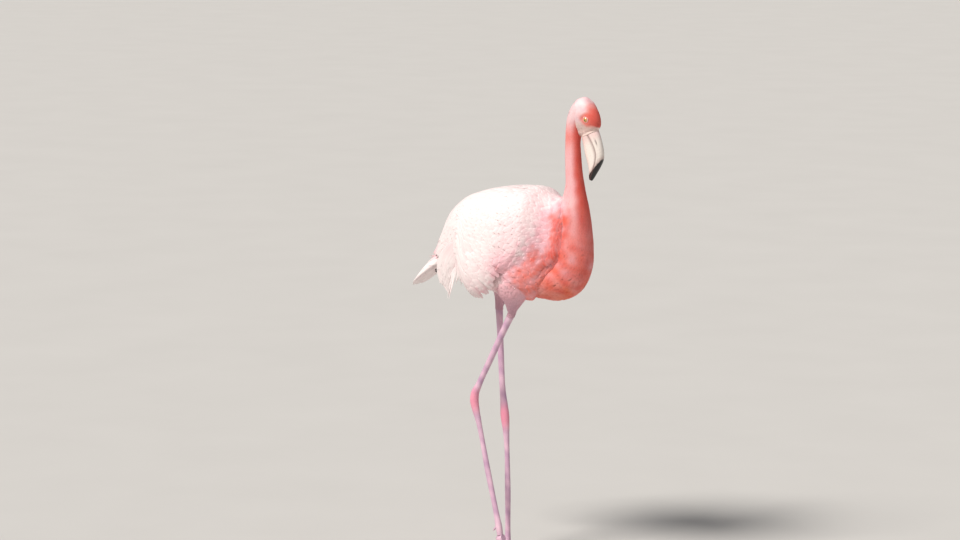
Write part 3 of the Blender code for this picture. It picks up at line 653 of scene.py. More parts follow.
def layFeathers(surface, u, v, flow, length, width, colourOf, chart, coat, lift, rows=6, columns=5,
                yaw=6.0, tip=0.62, camber=0.05, push=None):
    # Each vane is a small grid, t along its shaft and s across it, bent over the surface by turning its
    # offsets into steps of u and v. It rises from the skin as it goes back, so every tip lies over the
    # roots behind it: height = lift t^1.5 - coat (1 - ease(t)) - camber width s^2, with the tip tucked
    # down by a third. The half width is even up to tip and then follows an ellipse, sqrt(1 - point x^2).
    # Lengths are in millimetres and yaw, the wander of the lie, in degrees. push(points, height,
    # normals) may move the finished points.
    count, point, patchSize = len(u), 0.97, 0.003
    length, width, coat, lift = (np.broadcast_to(np.asarray(a, float), (count,)) for a in
                                 (length, width, coat, lift))
    root = sampleOf(surface, "points", u, v)
    normal = unit(sampleOf(surface, "normals", u, v))
    alongU, alongV = slopesOf(surface, u, v)
    ahead = flow(root, alongU)
    ahead = unit(ahead - normal * (ahead * normal).sum(-1, keepdims=True))
    aside = np.cross(normal, ahead)
    turn = np.radians(rng.normal(0, yaw, count))[:, None]
    ahead, aside = ahead * np.cos(turn) + aside * np.sin(turn), aside * np.cos(turn) - ahead * np.sin(turn)
    straight = rows - rows // 2
    steps = np.concatenate([np.linspace(0, tip, straight),
                            tip + (1 - tip) * np.sin(np.linspace(0, 1.5, rows // 2 + 1)[1:])])
    t, s = np.meshgrid(steps, np.linspace(-1, 1, columns), indexing="ij")
    past = np.clip((t - tip) / (1 - tip), 0, 1)
    half = (0.3 + 0.7 * eased(t, 0, 0.45)) * np.sqrt(1 - point * past**2)
    along = length[:, None, None] * (t * (1 - 0.10 * s**2 * t**2))
    across = width[:, None, None] / 2 * (half * s) * (1 + rng.normal(0, 0.015, (count, rows, 1)))
    offset = along[..., None] * ahead[:, None, None] + across[..., None] * aside[:, None, None]
    uu, vv, uv = ((alongU**2).sum(-1), (alongV**2).sum(-1), (alongU * alongV).sum(-1))
    det = np.maximum(uu * vv - uv**2, 1e-6)
    dotU = (offset * alongU[:, None, None]).sum(-1)
    dotV = (offset * alongV[:, None, None]).sum(-1)
    du = (dotU * vv[:, None, None] - dotV * uv[:, None, None]) / det[:, None, None]
    dv = (dotV * uu[:, None, None] - dotU * uv[:, None, None]) / det[:, None, None]
    newU, newV = u[:, None, None] + du, v[:, None, None] + dv
    base = sampleOf(surface, "points", newU, newV)
    normals = unit(sampleOf(surface, "normals", newU, newV))
    base = base + (newU - np.clip(newU, 0, 1))[..., None] * alongU[:, None, None]
    if not surface["wraps"]:
        base = base + (newV - np.clip(newV, 0, 1))[..., None] * alongV[:, None, None]
    loose = lift * rng.uniform(0.6, 1.25, count)
    tucked = loose[:, None, None] * t**1.5 * (1 - 0.35 * eased(t, 0.75, 1))
    height = (tucked - coat[:, None, None] * (1 - eased(t, 0, 0.5))
              - camber * width[:, None, None] * s**2 * eased(t, 0, 0.4)
              + 0.1 * loose[:, None, None] * rng.normal(0, 1, (count, 1, 1)))
    points = base + normals * height[..., None]
    if push is not None:
        points = push(points, height, normals)
    chance = rng.uniform(0, 1, (count, 1, 1))
    colours = colourOf(base, t[None] + 0 * chance, s[None] + 0 * chance, chance + 0 * height)
    vane = np.stack([across / 100, along / 100 + chance], -1)
    lowU, lowV, wide, high = bakeCharts[chart]
    patch = np.stack([(s + 1) / 2, t], -1) * patchSize
    room = 0.004  # left at a chart's far edges for the last patches
    place = np.stack([lowU + np.mod(v, 1) * (wide - room), lowV + np.clip(u, 0, 1) * (high - room)], -1)
    faces = gridFaces(rows, columns)[None] + (np.arange(count) * rows * columns)[:, None, None]
    return {"points": points.reshape(-1, 3), "colours": np.clip(colours, 0, 1).reshape(-1, 3),
            "vane": vane.reshape(-1, 2), "OFBake": (place[:, None, None] + patch).reshape(-1, 2),
            "faces": faces.reshape(-1, 4)}


def featherPiece(name, sets, nodes):
    count, faces = 0, []
    for one in sets:
        faces.append(one["faces"] + count)
        count += len(one["points"])
    joined = {key: np.concatenate([one[key] for one in sets])
              for key in ("points", "colours", "vane", "OFBake")}
    piece = makePiece(name, joined["points"], np.concatenate(faces).astype(np.int32), finishes["feather"],
                      joined["colours"], {"OFBake": joined["OFBake"], "vane": joined["vane"]})
    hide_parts(*nodes)
    print(f"{name}: {2 * len(piece.data.polygons)} triangles")


# Markings, with their painted light and shade, shared by the skin and the feathers.

def legColour(p):
    # Dusty rose skin, brighter round each ankle and pinker toward the feet.
    colour = blendOf(toLinear("caa2bb"), toLinear("e3bccd"), 0.5 + 0.5 * waviness(p, 26, 11))
    for side, ankle in legShape["ankle"].items():
        reach = np.linalg.norm(p - np.array(ankle, float), axis=-1)
        mine = (p[..., 1] > -6) == (side == "left")
        colour = blendOf(colour, toLinear("f08fa4"), 0.8 * (1 - eased(reach, 10, 44)) * mine)
    return blendOf(colour, toLinear("e08894"), 0.55 * (1 - eased(p[..., 2], 6, 34)))


def headColour(p):
    # Pale rose crown and nape, coral forehead and cheek, cream bare skin where the bill begins. The
    # coral is partly the head's own colour and partly painted shade where the face turns from the key
    # light, and the pale crown is partly painted light where it faces the light.
    along, above = headPlace(p)
    along = along + 2 * waviness(p, 16, 22)
    colour = blendOf(hue["rose"], hue["blush"], 0.5 + 0.3 * waviness(p, 18, 21))
    # painted shade with the head's coral: the front of the face ahead of the eye, turned from the light
    coralAndShade = eased(along, -52, -36) * eased(above, -8, 6)
    colour = blendOf(colour, hue["coral"], 0.95 * coralAndShade)
    colour = blendOf(colour, hue["coral"], 0.8 * eased(above, 14, 28) * eased(along, -72, -48))
    colour = blendOf(colour, hue["deepCoral"], 0.6 * eased(above, 10, 26) * eased(along, -58, -30))
    return blendOf(colour, hue["face"], 0.92 * eased(along - 0.75 * above, -27, -17))


def limbColour(p):
    # The feathered thigh: the flank's own colour above, rosier lower down, and darker toward its cuff as
    # painted shade from the belly above it.
    colour = blendOf(bodyColour(p), hue["rose"], 0.7 * (1 - eased(p[..., 2], 655, 690)))
    # painted shade: darker toward the cuff, in the belly's shadow
    return blendOf(colour, toLinear("c095a6"), 0.9 * (1 - eased(p[..., 2], 592, 672)))


def skinColour(p):
    # Each region's marking, painted light and shade included, one easing into the next by height and by place
    # on the head.
    x, z = p[..., 0], p[..., 2]
    along, above = headPlace(p)
    colour = bodyColour(p)
    colour = blendOf(colour, neckColour(p), eased(x, 140, 165))
    headward = eased(above, -33, -25) * eased(along, -88, -80) * eased(z, 985, 1000)
    colour = blendOf(colour, headColour(p), headward)
    colour = blendOf(colour, hue["face"] * 0.95, headward * eased(along, -9, -4))
    colour = blendOf(colour, limbColour(p), 1 - eased(z, 628, 650))
    return blendOf(colour, legColour(p), 1 - eased(z, 584, 590))


def asVane(marking, shaft=0.05, fringe=0.12, root="f4c3c8", rootShare=0.35):
    # A feather's colour: the marking where it lies, rosier toward its root and darkened there as painted
    # shade where it lies under the feathers ahead, with a faint darker shaft, a pale fringe and a small
    # difference from feather to feather.
    rootHue = toLinear(root)

    def colourOf(p, t, s, chance):
        colour = marking(p)
        # the root's own rose, darkened by 0.85 as painted shade where it lies under the next feathers
        colour = blendOf(colour, rootHue * 0.85, rootShare * (1 - eased(t, 0.35, 0.85)))
        colour = blendOf(colour, hue["blush"], fringe * eased(t, 0.75, 1.0))
        tone = 1 - shaft * bellOf(s, 0, 0.2) + 0.07 * (chance - 0.5)
        return colour * tone[..., None]
    return colourOf


# The skin: one closed shell joined from the body's forms.

def scaledLeg(stations, rows, sides):
    # A tube whose front wears broad scutes. Each is a low ramp ending in a step: the height is
    # (share of the scute)^3 times the scute's height, weighted by how far forward the point faces.
    points = tubeGrid(stations, rows, sides)
    normals = surfaceOf(points)["normals"]
    run = distancesAlong(points.mean(axis=1))
    share = np.mod(run / legShape["scuteSpacing"] + 0.12 * np.sin(run / 9), 1.0)[:, None]
    front = eased(normals[..., 0], -0.35, 0.55)
    rise = legShape["scuteHeight"] * (share**3 - 0.55)
    pebbles = 0.12 * np.sin(points[..., 2] * 2.6 + 4 * normals[..., 1]) * np.sin(12 * normals[..., 1])
    return points + normals * (rise * front + pebbles * (1 - front) - 0.15)[..., None]


def toeAngles(side):
    turn = -1.0 if side == "left" else footShape["spread"]
    return {toe: angle * turn for toe, angle in footShape["angles"].items()}


def soleReach(degrees, angles):  # how far the foot reaches: toes ahead, webs between them, the heel behind
    lengths = footShape["lengths"]
    flank = {toe: math.degrees(footShape["halfWidth"] * 0.6 / lengths[toe]) for toe in lengths}
    reach = np.full(degrees.shape, footShape["heel"])
    order = sorted(angles, key=angles.get)
    for low, high in zip(order, order[1:]):
        share = (degrees - angles[low]) / (angles[high] - angles[low])
        inside = (share > 0) & (share < 1)
        share = np.clip(share, 0, 1)
        length = between((lengths[low], lengths[high]), share)
        dip = (1 - footShape["web"]) * np.sin(pi * share) ** 0.7
        reach = np.where(inside, length * (1 - dip), reach)
    for toe, angle in angles.items():
        reach = np.where(np.abs(degrees - angle) <= 1.03 * flank[toe], lengths[toe], reach)
    return reach


def footPoints(angles):
    # A fan of rays from the hub. The top is the highest of the hub, the toes' rounded ridges with their
    # knuckles and scutes, and the thin web; the sole is flat. Most of the rays lie across the toes.
    steps, raysBehind, raysAhead = 46, 22, 88
    low, high = min(angles.values()) - 5, max(angles.values()) + 5
    spread = np.concatenate([
        np.linspace(-180, low, raysBehind, endpoint=False),
        np.linspace(low, high, raysAhead, endpoint=False),
        np.linspace(high, 180, raysBehind, endpoint=False)])
    turn, reach = np.radians(spread), soleReach(spread, angles)
    share = np.linspace(0, 1, steps)[:, None] ** 0.85
    x, y = share * reach * np.cos(turn), share * reach * np.sin(turn)
    top = np.full(x.shape, footShape["webThick"]) + 0.25 * np.sin(x * 0.9) * np.sin(y * 0.9)
    for toe, angle in angles.items():
        a = math.radians(angle)
        ahead, aside = x * math.cos(a) + y * math.sin(a), -x * math.sin(a) + y * math.cos(a)
        thick = between(footShape["thickness"], np.clip(ahead / footShape["lengths"][toe], 0, 1))
        knuckles = 0.7 * (bellOf(ahead, 30, 6) + bellOf(ahead, 52, 5))
        scutes = 0.3 * (np.mod(ahead / footShape["scuteSpacing"], 1) - 0.5)
        ridge = (thick + knuckles + scutes) * bellOf(aside, 0, footShape["halfWidth"])
        top = np.maximum(top, ridge * (ahead > 0))
    top = np.maximum(top, footShape["hub"] * (1 - eased(np.hypot(x, y), 8.9, 24)))
    top = top * (1 - 0.45 * eased(share, 0.96, 1))
    upper, lower = np.stack([x, y, top], -1), np.stack([x, y, 0 * x], -1)
    return np.concatenate([upper, lower[::-1]])  # from the hub out over the top and back under the sole


def flatPlace(p):
    return p + np.array([*footShape["standing"], 0.0])


def steppingPlace(p):
    # Bends the foot down so that only its toes' ends lie on the floor: each point moves along a line
    # whose slope eases from steep to flat.
    steps = np.linspace(-12.0, 100.0, 449)
    slope = np.radians(footShape["slope"]) * (1 - eased(steps, *footShape["bend"]))
    ahead, down = (np.cumsum(f(slope)) * (steps[1] - steps[0]) for f in (np.cos, np.sin))
    ahead -= np.interp(0.0, steps, ahead)
    down -= down[-1]
    x, y, z = p[..., 0], p[..., 1], p[..., 2]
    tilt = np.interp(x, steps, slope)
    return np.stack([
        footShape["stepping"][0] + np.interp(x, steps, ahead) + z * np.sin(tilt),
        footShape["stepping"][1] + y,
        -np.interp(x, steps, down) + z * np.cos(tilt)], -1)


footPlaces = {"left": flatPlace, "right": steppingPlace}


def wingSlab(left):  # a closed band: the wing's outer face pulled in, and its inner face within the trunk
    inset, sunk = 6.0, 24.0
    share, down = np.meshgrid(np.linspace(0.01, 0.99, 44), np.linspace(0.02, 0.97, 26), indexing="ij")
    spread = 70 + 60 * eased(share, 0, 0.5) - 30 * eased(share, 0.6, 0.8)
    inner = mantlePoint(wingShape["front"] - wingShape["length"] * share, 22 + spread * down, -sunk)
    outer = wingPoint(share, down, inset)
    band = np.concatenate([outer, inner[:, ::-1]], axis=1)
    return band * [1, -1, 1] if left else band


def skinForms():  # the skin's closed forms, trunk first, as grids
    neckCoat = np.linspace(*neckShape["coat"], len(neckShape["stations"]))
    shells = {
        "trunk": tubeGrid(thinner(trunkShape["stations"], trunkShape["coat"]), 60, 64, True,
                          trunkShape["squareness"]),
        "neck": tubeGrid(thinner(neckShape["stations"], neckCoat), 150, 44),
        "head": tubeGrid(thinner(headStations(), headShape["coat"]), 70, 72),
        "tail": tubeGrid(thinner(tailShape[:4], 6.0), 14, 24),
        "wingRight": wingSlab(False), "wingLeft": wingSlab(True),
    }
    for side in ("right", "left"):
        shells["thigh" + side] = tubeGrid(thinner(thighShape[side], thighShape["skinInset"]), 50, 36)
        stations = np.array(legShape[side], float)
        top = stations[0] + (stations[0] - stations[1]) * 0.5
        top[3:] = stations[0][3:] * 0.98
        shells["leg" + side] = scaledLeg(np.vstack([top, stations]), 560, 28)
        shells["foot" + side] = footPlaces[side](footPoints(toeAngles(side)))
        x, y, z, slope = footShape["hindToes"][side]
        dx, dz = -math.cos(math.radians(slope)), -math.sin(math.radians(slope))
        toe = ((-5, 2.6), (2, 2.8), (8, 2.7), (13, 2.2), (18, 1.0))  # how far along, radius
        shells["hindToe" + side] = tubeGrid([(x + a * dx, y, z + a * dz, r, r, r) for a, r in toe], 24, 14)
    return shells


def joinForms(shells, name):  # one closed mesh from forms that overlap
    forms = []
    for shellName, points in shells.items():
        forms.append(makePiece("form_" + shellName, *closedTube(points), None))
        tidyMesh(forms[-1])
    base = forms[0]
    for form in forms[1:]:
        join = base.modifiers.new(form.name, "BOOLEAN")
        join.operation, join.solver, join.object = "UNION", "EXACT", form
        join.use_self = form.name.startswith("form_wing")
    graph = bpy.context.evaluated_depsgraph_get()
    mesh = bpy.data.meshes.new_from_object(base.evaluated_get(graph))
    for form in forms:
        bpy.data.objects.remove(form)
    mesh.name = name
    return mesh


def makeSkin():
    mesh = joinForms(skinForms(), "skin")
    points = np.empty(3 * len(mesh.vertices), np.float32)
    mesh.vertices.foreach_get("co", points)
    p = (points.reshape(-1, 3).astype(float) - shift) / mm
    paint(mesh, skinColour(p))
    mesh.materials.clear()
    for finish in ("skin", "leg"):
        mesh.materials.append(finishes[finish])
    centres = np.empty(3 * len(mesh.polygons), np.float32)
    mesh.polygons.foreach_get("center", centres)
    bare = centres.reshape(-1, 3)[:, 2] < legShape["cuff"] * mm
    mesh.polygons.foreach_set("material_index", bare.astype(np.int32))
    mesh.polygons.foreach_set("use_smooth", np.ones(len(mesh.polygons), bool))
    skin = addToScene(bpy.data.objects.new("skin", mesh))
    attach(skin, "root")
    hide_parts("trunk", "neck_base", "neck_lower", "neck_middle", "neck_upper", "head", "thigh_left",
                "thigh_right", "shin_left", "shin_right", "tarsus_left", "tarsus_right", "foot_left",
                "foot_right", "hind_toe_left", "hind_toe_right")
    print(f"skin: {sum(len(face.vertices) - 2 for face in mesh.polygons)} triangles")


# The bill: two halves that meet along the gape.

billShape = {
    "culmen": ((3.7, 20.4), (20, 19.4), (40, 17), (58, 12.6), (71, 5), (82, -8), (91, -21), (99, -33),
               (102, -38.5)),
    "gape": ((3.7, -2), (20, 1.5), (38, 3), (53, 0.5), (65, -7), (75, -16), (84, -26), (93, -36),
             (99.5, -41)),
    "chin": ((3.7, -25), (20, -28.5), (40, -32), (56, -33.5), (67, -34.5), (76, -36), (85, -39.5), (93, -43),
             (97.5, -44)),
    "halfWidths": (14.4, 14.0, 13.4, 12.6, 11.6, 10.2, 8.4, 6.0, 3.0),
    "lamella": 1.6,  # spacing of the fine ridges along the gape
    "nostril": {"round": 0.5, "along": 0.17},  # sin of its angle from the gape, share of the length
}


def billColour(p):
    # Ivory, rosier by the face, black from a slanting edge to the tip, with a soft dusky line before it.
    along, above = headPlace(p)
    edge = along - (65 + 0.45 * (12 - above)) + 0.3 * waviness(p, 9, 33)
    colour = blendOf(toLinear("f6e9df"), toLinear("f3cdc8"), 0.8 * (1 - eased(along, 4, 30)))
    colour = colour * (1 - 0.06 * eased(waviness(p, 5, 34), 0.1, 0.9))[..., None]
    colour = blendOf(colour, toLinear("b08a84"), 0.5 * eased(edge, -9, -1))
    return blendOf(colour, toLinear("14100f"), eased(edge, -1.6, 1.2))


def halfBill(name, ridge, node):
    # Half ellipses from the gape out to the ridge: at angle a the point is gape + (ridge - gape)
    # sin(a)^0.85, and half width cos(a) to the side. The half's flat inner face closes it.
    rows, sides, halfGap, usualWidth = 150, 49, 0.35, 13.0
    knots, share = np.linspace(0, 1, len(billShape["halfWidths"])), np.linspace(0, 1, rows)
    outer, inner = (curveThrough(knots, np.array(billShape[key], float), share) for key in (ridge, "gape"))
    width = curveThrough(knots, np.array(billShape["halfWidths"])[:, None], share)[:, 0]
    inner = inner + unit(outer - inner) * halfGap
    turn = np.linspace(0, pi, sides)
    alongAbove = inner[:, None] + (outer - inner)[:, None] * (np.sin(turn) ** 0.85)[:, None]
    out = width[:, None] * np.cos(turn) * (1 - 0.05 * np.sin(2 * turn) ** 2)
    run = distancesAlong(inner)[:, None]
    comb = 0.28 * (0.5 + 0.5 * np.sin(tau * run / billShape["lamella"])) * bellOf(np.sin(turn), 0, 0.16)
    out = out * (1 - comb / np.maximum(width[:, None], 3))
    fade = eased(share, 0.02, 0.1) * (1 - eased(share, 0.6, 0.8))
    groove = 0.5 * bellOf(np.sin(turn), 0.42, 0.07) * fade[:, None]

    def nostrilPit(wide, long):
        place = billShape["nostril"]
        pit = bellOf(np.sin(turn), place["round"], wide) * bellOf(share, place["along"], long)[:, None]
        return pit * (ridge == "culmen")

    def atPoles(field):  # the field's value at each point, with nothing at the two closed ends
        return np.concatenate([np.zeros(sides), field.ravel(), np.zeros(sides)])
    out = out * (1 - (groove + 1.5 * nostrilPit(0.11, 0.055)) / usualWidth)
    points = headPoint(alongAbove[..., 0], alongAbove[..., 1], out)
    flat, faces = closedTube(points)
    colours = billColour(flat)
    # painted shade: the shallow nostril pit is painted dark for the shadowed inside of its opening
    colours = blendOf(colours, toLinear("5a3a3a"), 0.8 * atPoles(nostrilPit(0.09, 0.05)))
    # painted shade: darker along the gape, in the seam where the two halves meet
    colours = blendOf(colours, toLinear("7d5552"), 0.55 * atPoles(bellOf(np.sin(turn), 0, 0.09) + 0 * run))
    piece = makePiece(name, flat, faces, finishes["bill"], colours)
    tidyMesh(piece)
    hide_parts(node)
    print(name, "made")


def makeEye(side, sign):
    # The ball's colour runs out from its axis: black pupil, pale iris, dark rim. The lids are a ring round
    # it whose section is an ellipse, a little lower over the top of the eye.
    centre = headPoint(*eyeShape["place"], sign * eyeShape["out"])
    forward = headPoint(1.0, 0.0) - headPoint(0.0, 0.0)
    upward = headPoint(0.0, 1.0) - headPoint(0.0, 0.0)
    outward = unit(np.array([0.0, sign, 0.0]) + eyeShape["ahead"] * forward)
    first = unit(forward - outward * forward.dot(outward))
    second = np.cross(outward, first)
    sides = 64
    polar, turn = np.meshgrid(np.linspace(0.01, pi - 0.01, 60), tau * np.arange(sides) / sides,
                              indexing="ij")
    normal = (np.cos(polar)[..., None] * outward + np.sin(polar)[..., None]
              * (np.cos(turn)[..., None] * first + np.sin(turn)[..., None] * second))
    bulge = eyeShape["radius"] + 0.35 * bellOf(polar, 0, 0.5)
    flat, faces = closedTube(centre + normal * bulge[..., None])
    behind = 9.0  # beyond every ring of colour, for the ball's hidden half
    off = np.sin(polar).ravel() + behind * (polar.ravel() > pi / 2)
    off = np.concatenate([np.zeros(sides), off, np.full(sides, behind)])
    iris = blendOf(toLinear("f4d77a"), toLinear("d99b2e"), eased(off, *eyeShape["iris"]))
    colours = blendOf(toLinear("070606"), iris, eased(off, *eyeShape["pupil"]))
    colours = blendOf(colours, toLinear("2a1614"), eased(off, *eyeShape["rim"]))
    eye = makePiece("eye_" + side + "_wet", flat, faces, finishes["eye"], colours)
    tidyMesh(eye)
    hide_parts("eye_" + side)
    rings, corners = 72, 16
    turned = tau * np.arange(rings + 1) / rings  # the last ring repeats the first
    around, section = np.meshgrid(turned, tau * np.arange(corners) / corners, indexing="ij")
    up = np.cos(around - math.atan2(upward.dot(second), upward.dot(first)))
    ring = eyeShape["lidRing"] - 0.6 * eased(up, 0.1, 1.0) - 0.2 * eased(-up, 0.3, 1.0)
    tall = 0.75 + 0.25 * eased(up, 0, 1)
    folds = 1 + 0.06 * np.sin(9 * around + 2 * section)
    spread = ring + eyeShape["lidThick"] * np.cos(section) * folds
    height = eyeShape["lidHeight"] + tall * np.sin(section) - 0.35 * np.cos(section)
    points = (centre + outward * height[..., None]
              + (np.cos(around) * spread)[..., None] * first + (np.sin(around) * spread)[..., None] * second)
    lidColours = blendOf(toLinear("efb0a2"), toLinear("b9504c"), eased(np.cos(section), 0.2, -1.0))
    lid = makePiece("eyelids_" + side, points.reshape(-1, 3), gridFaces(rings + 1, corners, wraps=True),
                    finishes["skin"], lidColours.reshape(-1, 3))
    tidyMesh(lid)
    print("eye", side, "made")


clawShape = (  # how far past the toe's end, height, half width, half height
    (-1.5, 2.6, 2.3, 2.0), (3, 2.9, 2.0, 1.9), (6, 2.6, 1.4, 1.3), (9.5, 1.3, 0.5, 0.5),
)


def makeClaws():
    for side in ("right", "left"):
        for toe, angle in toeAngles(side).items():
            a, start = math.radians(angle), footShape["lengths"][toe]
            points = tubeGrid([(start + far, 0, up, w, h, h) for far, up, w, h in clawShape], 26, 20)
            x, y, z = np.moveaxis(points, -1, 0)
            turned = np.stack([x * math.cos(a) - y * math.sin(a), x * math.sin(a) + y * math.cos(a), z], -1)
            flat, faces = closedTube(footPlaces[side](turned))
            claw = makePiece(f"claw_horn_{toe}_{side}", flat, faces, finishes["claw"])
            tidyMesh(claw)
            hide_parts(f"claw_{toe}_{side}")
    print("claws made")


# The places that the coats keep clear of or lie over.

def tubeDepth(p, stations):
    # How far out of a tube points are, as a share of its radius there: below 1 is inside.
    stations = np.asarray(stations, float)
    knots = distancesAlong(stations[:, :3])
    found = curveThrough(knots, stations, np.linspace(0, knots[-1], 170))
    line = found[:, :3]
    along = unit(np.gradient(line, axis=0))
    side = unit(np.array([0.0, 1.0, 0.0]) - along * along[:, 1:2])
    up = np.cross(along, side)
    parts = np.array_split(p, max(len(p) // 20000, 1))  # in parts, to keep the tables of distances small
    near = np.concatenate([((part[:, None] - line[None]) ** 2).sum(-1).argmin(1) for part in parts])
    off = p - line[near]
    aside, above = (off * side[near]).sum(-1), (off * up[near]).sum(-1)
    high = np.where(above > 0, found[near, 4], found[near, 5])
    beyond = np.abs((off * along[near]).sum(-1)) / found[near, 3]
    return np.sqrt((aside / found[near, 3]) ** 2 + (above / high) ** 2 + beyond**2)


def trunkDepth(p):
    # The same for the trunk, whose rings stand upright and are squarer: the depth is
    # ((|y|/w)^2.4 + (|z|/h)^2.4)^(1/2.4). It also gives the station there and its rise or drop.
    power, falloff = 2.4, 20.0
    rear, front = trunkSpan
    table = np.array(trunkShape["stations"], float)
    x = np.clip(p[..., 0], table[0, 0], table[-1, 0])
    found = curveThrough(table[:, 0], table, x)
    above = p[..., 2] - found[..., 2]
    high = np.where(above > 0, found[..., 4], found[..., 5])
    aside = np.abs(p[..., 1]) / found[..., 3]
    depth = (aside**power + (np.abs(above) / high) ** power) ** (1 / power)
    past = np.clip(np.abs(p[..., 0] - (rear + front) / 2) - (front - rear) / 2, 0, None)
    return depth + past / falloff, found, high


def outOfTrunk(points, height, normals):  # lifts feathers that lie over the trunk onto its coat
    sunk = 2.0
    depth, found, high = trunkDepth(points)
    wanted = 1 + (height - sunk) / high
    scale = np.where(depth < wanted, wanted / np.maximum(depth, 0.5), 1.0)
    scale = 1 + (scale - 1) * (1 - eased(points[..., 0], 125, 150))
    moved = points.copy()
    moved[..., 1] = points[..., 1] * scale
    moved[..., 2] = found[..., 2] + (points[..., 2] - found[..., 2]) * scale
    return filledNape(filledCrease(moved, height, normals), height, normals)


forms = {  # the plumage's outlines where two of them meet in a crease
    "trunk": surfaceOf(tubeGrid(trunkShape["stations"], 96, 90, True, trunkShape["squareness"])),
    "neck": surfaceOf(tubeGrid(neckShape["stations"], 170, 44)),
    # the neck again, but with a slimmer end within the head
    "nape": surfaceOf(tubeGrid((*neckShape["stations"][:-1], (224, 0, 1077, 10, 16, 10)), 160, 44)),
    "head": surfaceOf(tubeGrid(headStations(), 50, 50)),
    "rightThigh": surfaceOf(tubeGrid(thighShape["right"], 40, 40)),
    "leftThigh": surfaceOf(tubeGrid(thighShape["left"], 40, 40)),
}


def gapTo(p, form):
    # How far points lie out of a form, measured from its nearest grid point, and the way out there.
    margin, slack = 60.0, 5.0  # how far round the points to look; half the form's own grid
    points, normals = form["points"].reshape(-1, 3), form["normals"].reshape(-1, 3)
    close = ((points > p.min(axis=0) - margin) & (points < p.max(axis=0) + margin)).all(axis=1)
    points, normals = points[close], normals[close]
    size = (points**2).sum(axis=1)
    parts = np.array_split(p, max(len(p) // 1500, 1))
    near = np.concatenate([(size - 2 * part @ points.T).argmin(axis=1) for part in parts])
    off, out = p - points[near], normals[near]
    straight = (off * out).sum(-1)
    aside = np.clip((off**2).sum(-1) - straight**2 - slack**2, 0, None)
    return np.sign(straight) * np.sqrt(straight**2 + aside), out


def filled(points, normals, one, other, reach, amountAt):
    # Fills the crease between two forms, as soft plumage does: a point near both moves out by
    # h^2 reach / 4, where h = 1 - |distance to one - distance to the other| / reach. Its way out is
    # midway between the forms' where h is large, and its own where h is small.
    flat, out = points.reshape(-1, 3).copy(), normals.reshape(-1, 3)
    amount = amountAt(flat)
    near = amount > 0
    if not near.any():
        return points
    p = flat[near]
    (oneGap, oneOut), (otherGap, otherOut) = gapTo(p, forms[one]), gapTo(p, forms[other])
    share = np.clip(reach - np.abs(oneGap - otherGap), 0, None) / reach
    close = 1 - eased(np.maximum(oneGap, otherGap), reach / 2, reach)
    close = close * eased(np.minimum(oneGap, otherGap), -26, -4)  # but not deep inside either
    step = share**2 * reach / 4 * close * amount[near]
    toward = unit((oneOut + otherOut) * (4 * share**2)[:, None] + out[near])
    flat[near] = p + toward * step[:, None]
    return flat.reshape(points.shape)


def filledCrease(points, height, normals):  # between the neck's base and the breast, but not underneath
    def amountAt(p):
        underneath = (1 - eased(p[:, 2], 628, 668)) * (1 - eased(np.abs(p[:, 1]), 18, 38))
        return eased(p[:, 0], 45, 80) * (p[:, 2] < 960) * (1 - underneath)
    return filled(points, normals, "trunk", "neck", 62.0, amountAt)


def filledNape(points, height, normals):  # between the neck's arch and the back of the head, not at the eyes
    def amountAt(p):
        return eased(p[:, 2], 985, 1000) * eased(eyeGap(*headPlace(p)), 6, 16)
    return filled(points, normals, "nape", "head", 24.0, amountAt)


def filledThighs(points, height, normals):  # between the belly and the thighs
    for thigh, sign in (("rightThigh", -1), ("leftThigh", 1)):
        def amountAt(p):
            near = (p[:, 2] < 735) & (sign * p[:, 1] > 0) & (np.abs(p[:, 0] - 15) < 120)
            return eased(p[:, 2], 600, 640) * near
        points = filled(points, normals, "trunk", thigh, 40.0, amountAt)
    return points


def filledBreast(points, height, normals):
    return filledThighs(filledCrease(points, height, normals), height, normals)


# How each coat lies: the direction that feathers point at their roots.

def trunkFlow(p, alongU):  # rearward, and spreading from the breast's front
    down = blendOf([-1, 0, -0.35], [-1, 0, 0.12], 1 - eased(p[..., 2], 660, 740))
    spread = np.stack([-1 + 0 * p[..., 0], p[..., 1] / 45, (p[..., 2] - 758) / 60], -1)
    return blendOf(down, spread, eased(p[..., 0], 120, 160))


def downBody(p, alongU):  # from the head toward the body
    return -alongU


def downLimb(p, alongU):  # from the body toward the tip
    return alongU


def backFlow(p, alongU):  # along the back, and a little down
    return unit(alongU) + [0, 0, -0.12]


def wingFlow(p, alongU):  # rearward, and more steeply down low on the lobe
    down = -0.2 - 0.5 * (1 - eased(p[..., 2], 640, 790))
    return np.stack([-1 + 0 * down, 0 * down, down], -1)


def headFlow(p, alongU):  # away from the bill, then over the crown and down the nape
    along = headPlace(p)[0]
    back = headPoint(-1.0, 0.0) - headPoint(0.0, 0.0)
    return blendOf(back, unit(np.array([-0.75, 0.0, -0.65])), eased(-along, 34, 66))


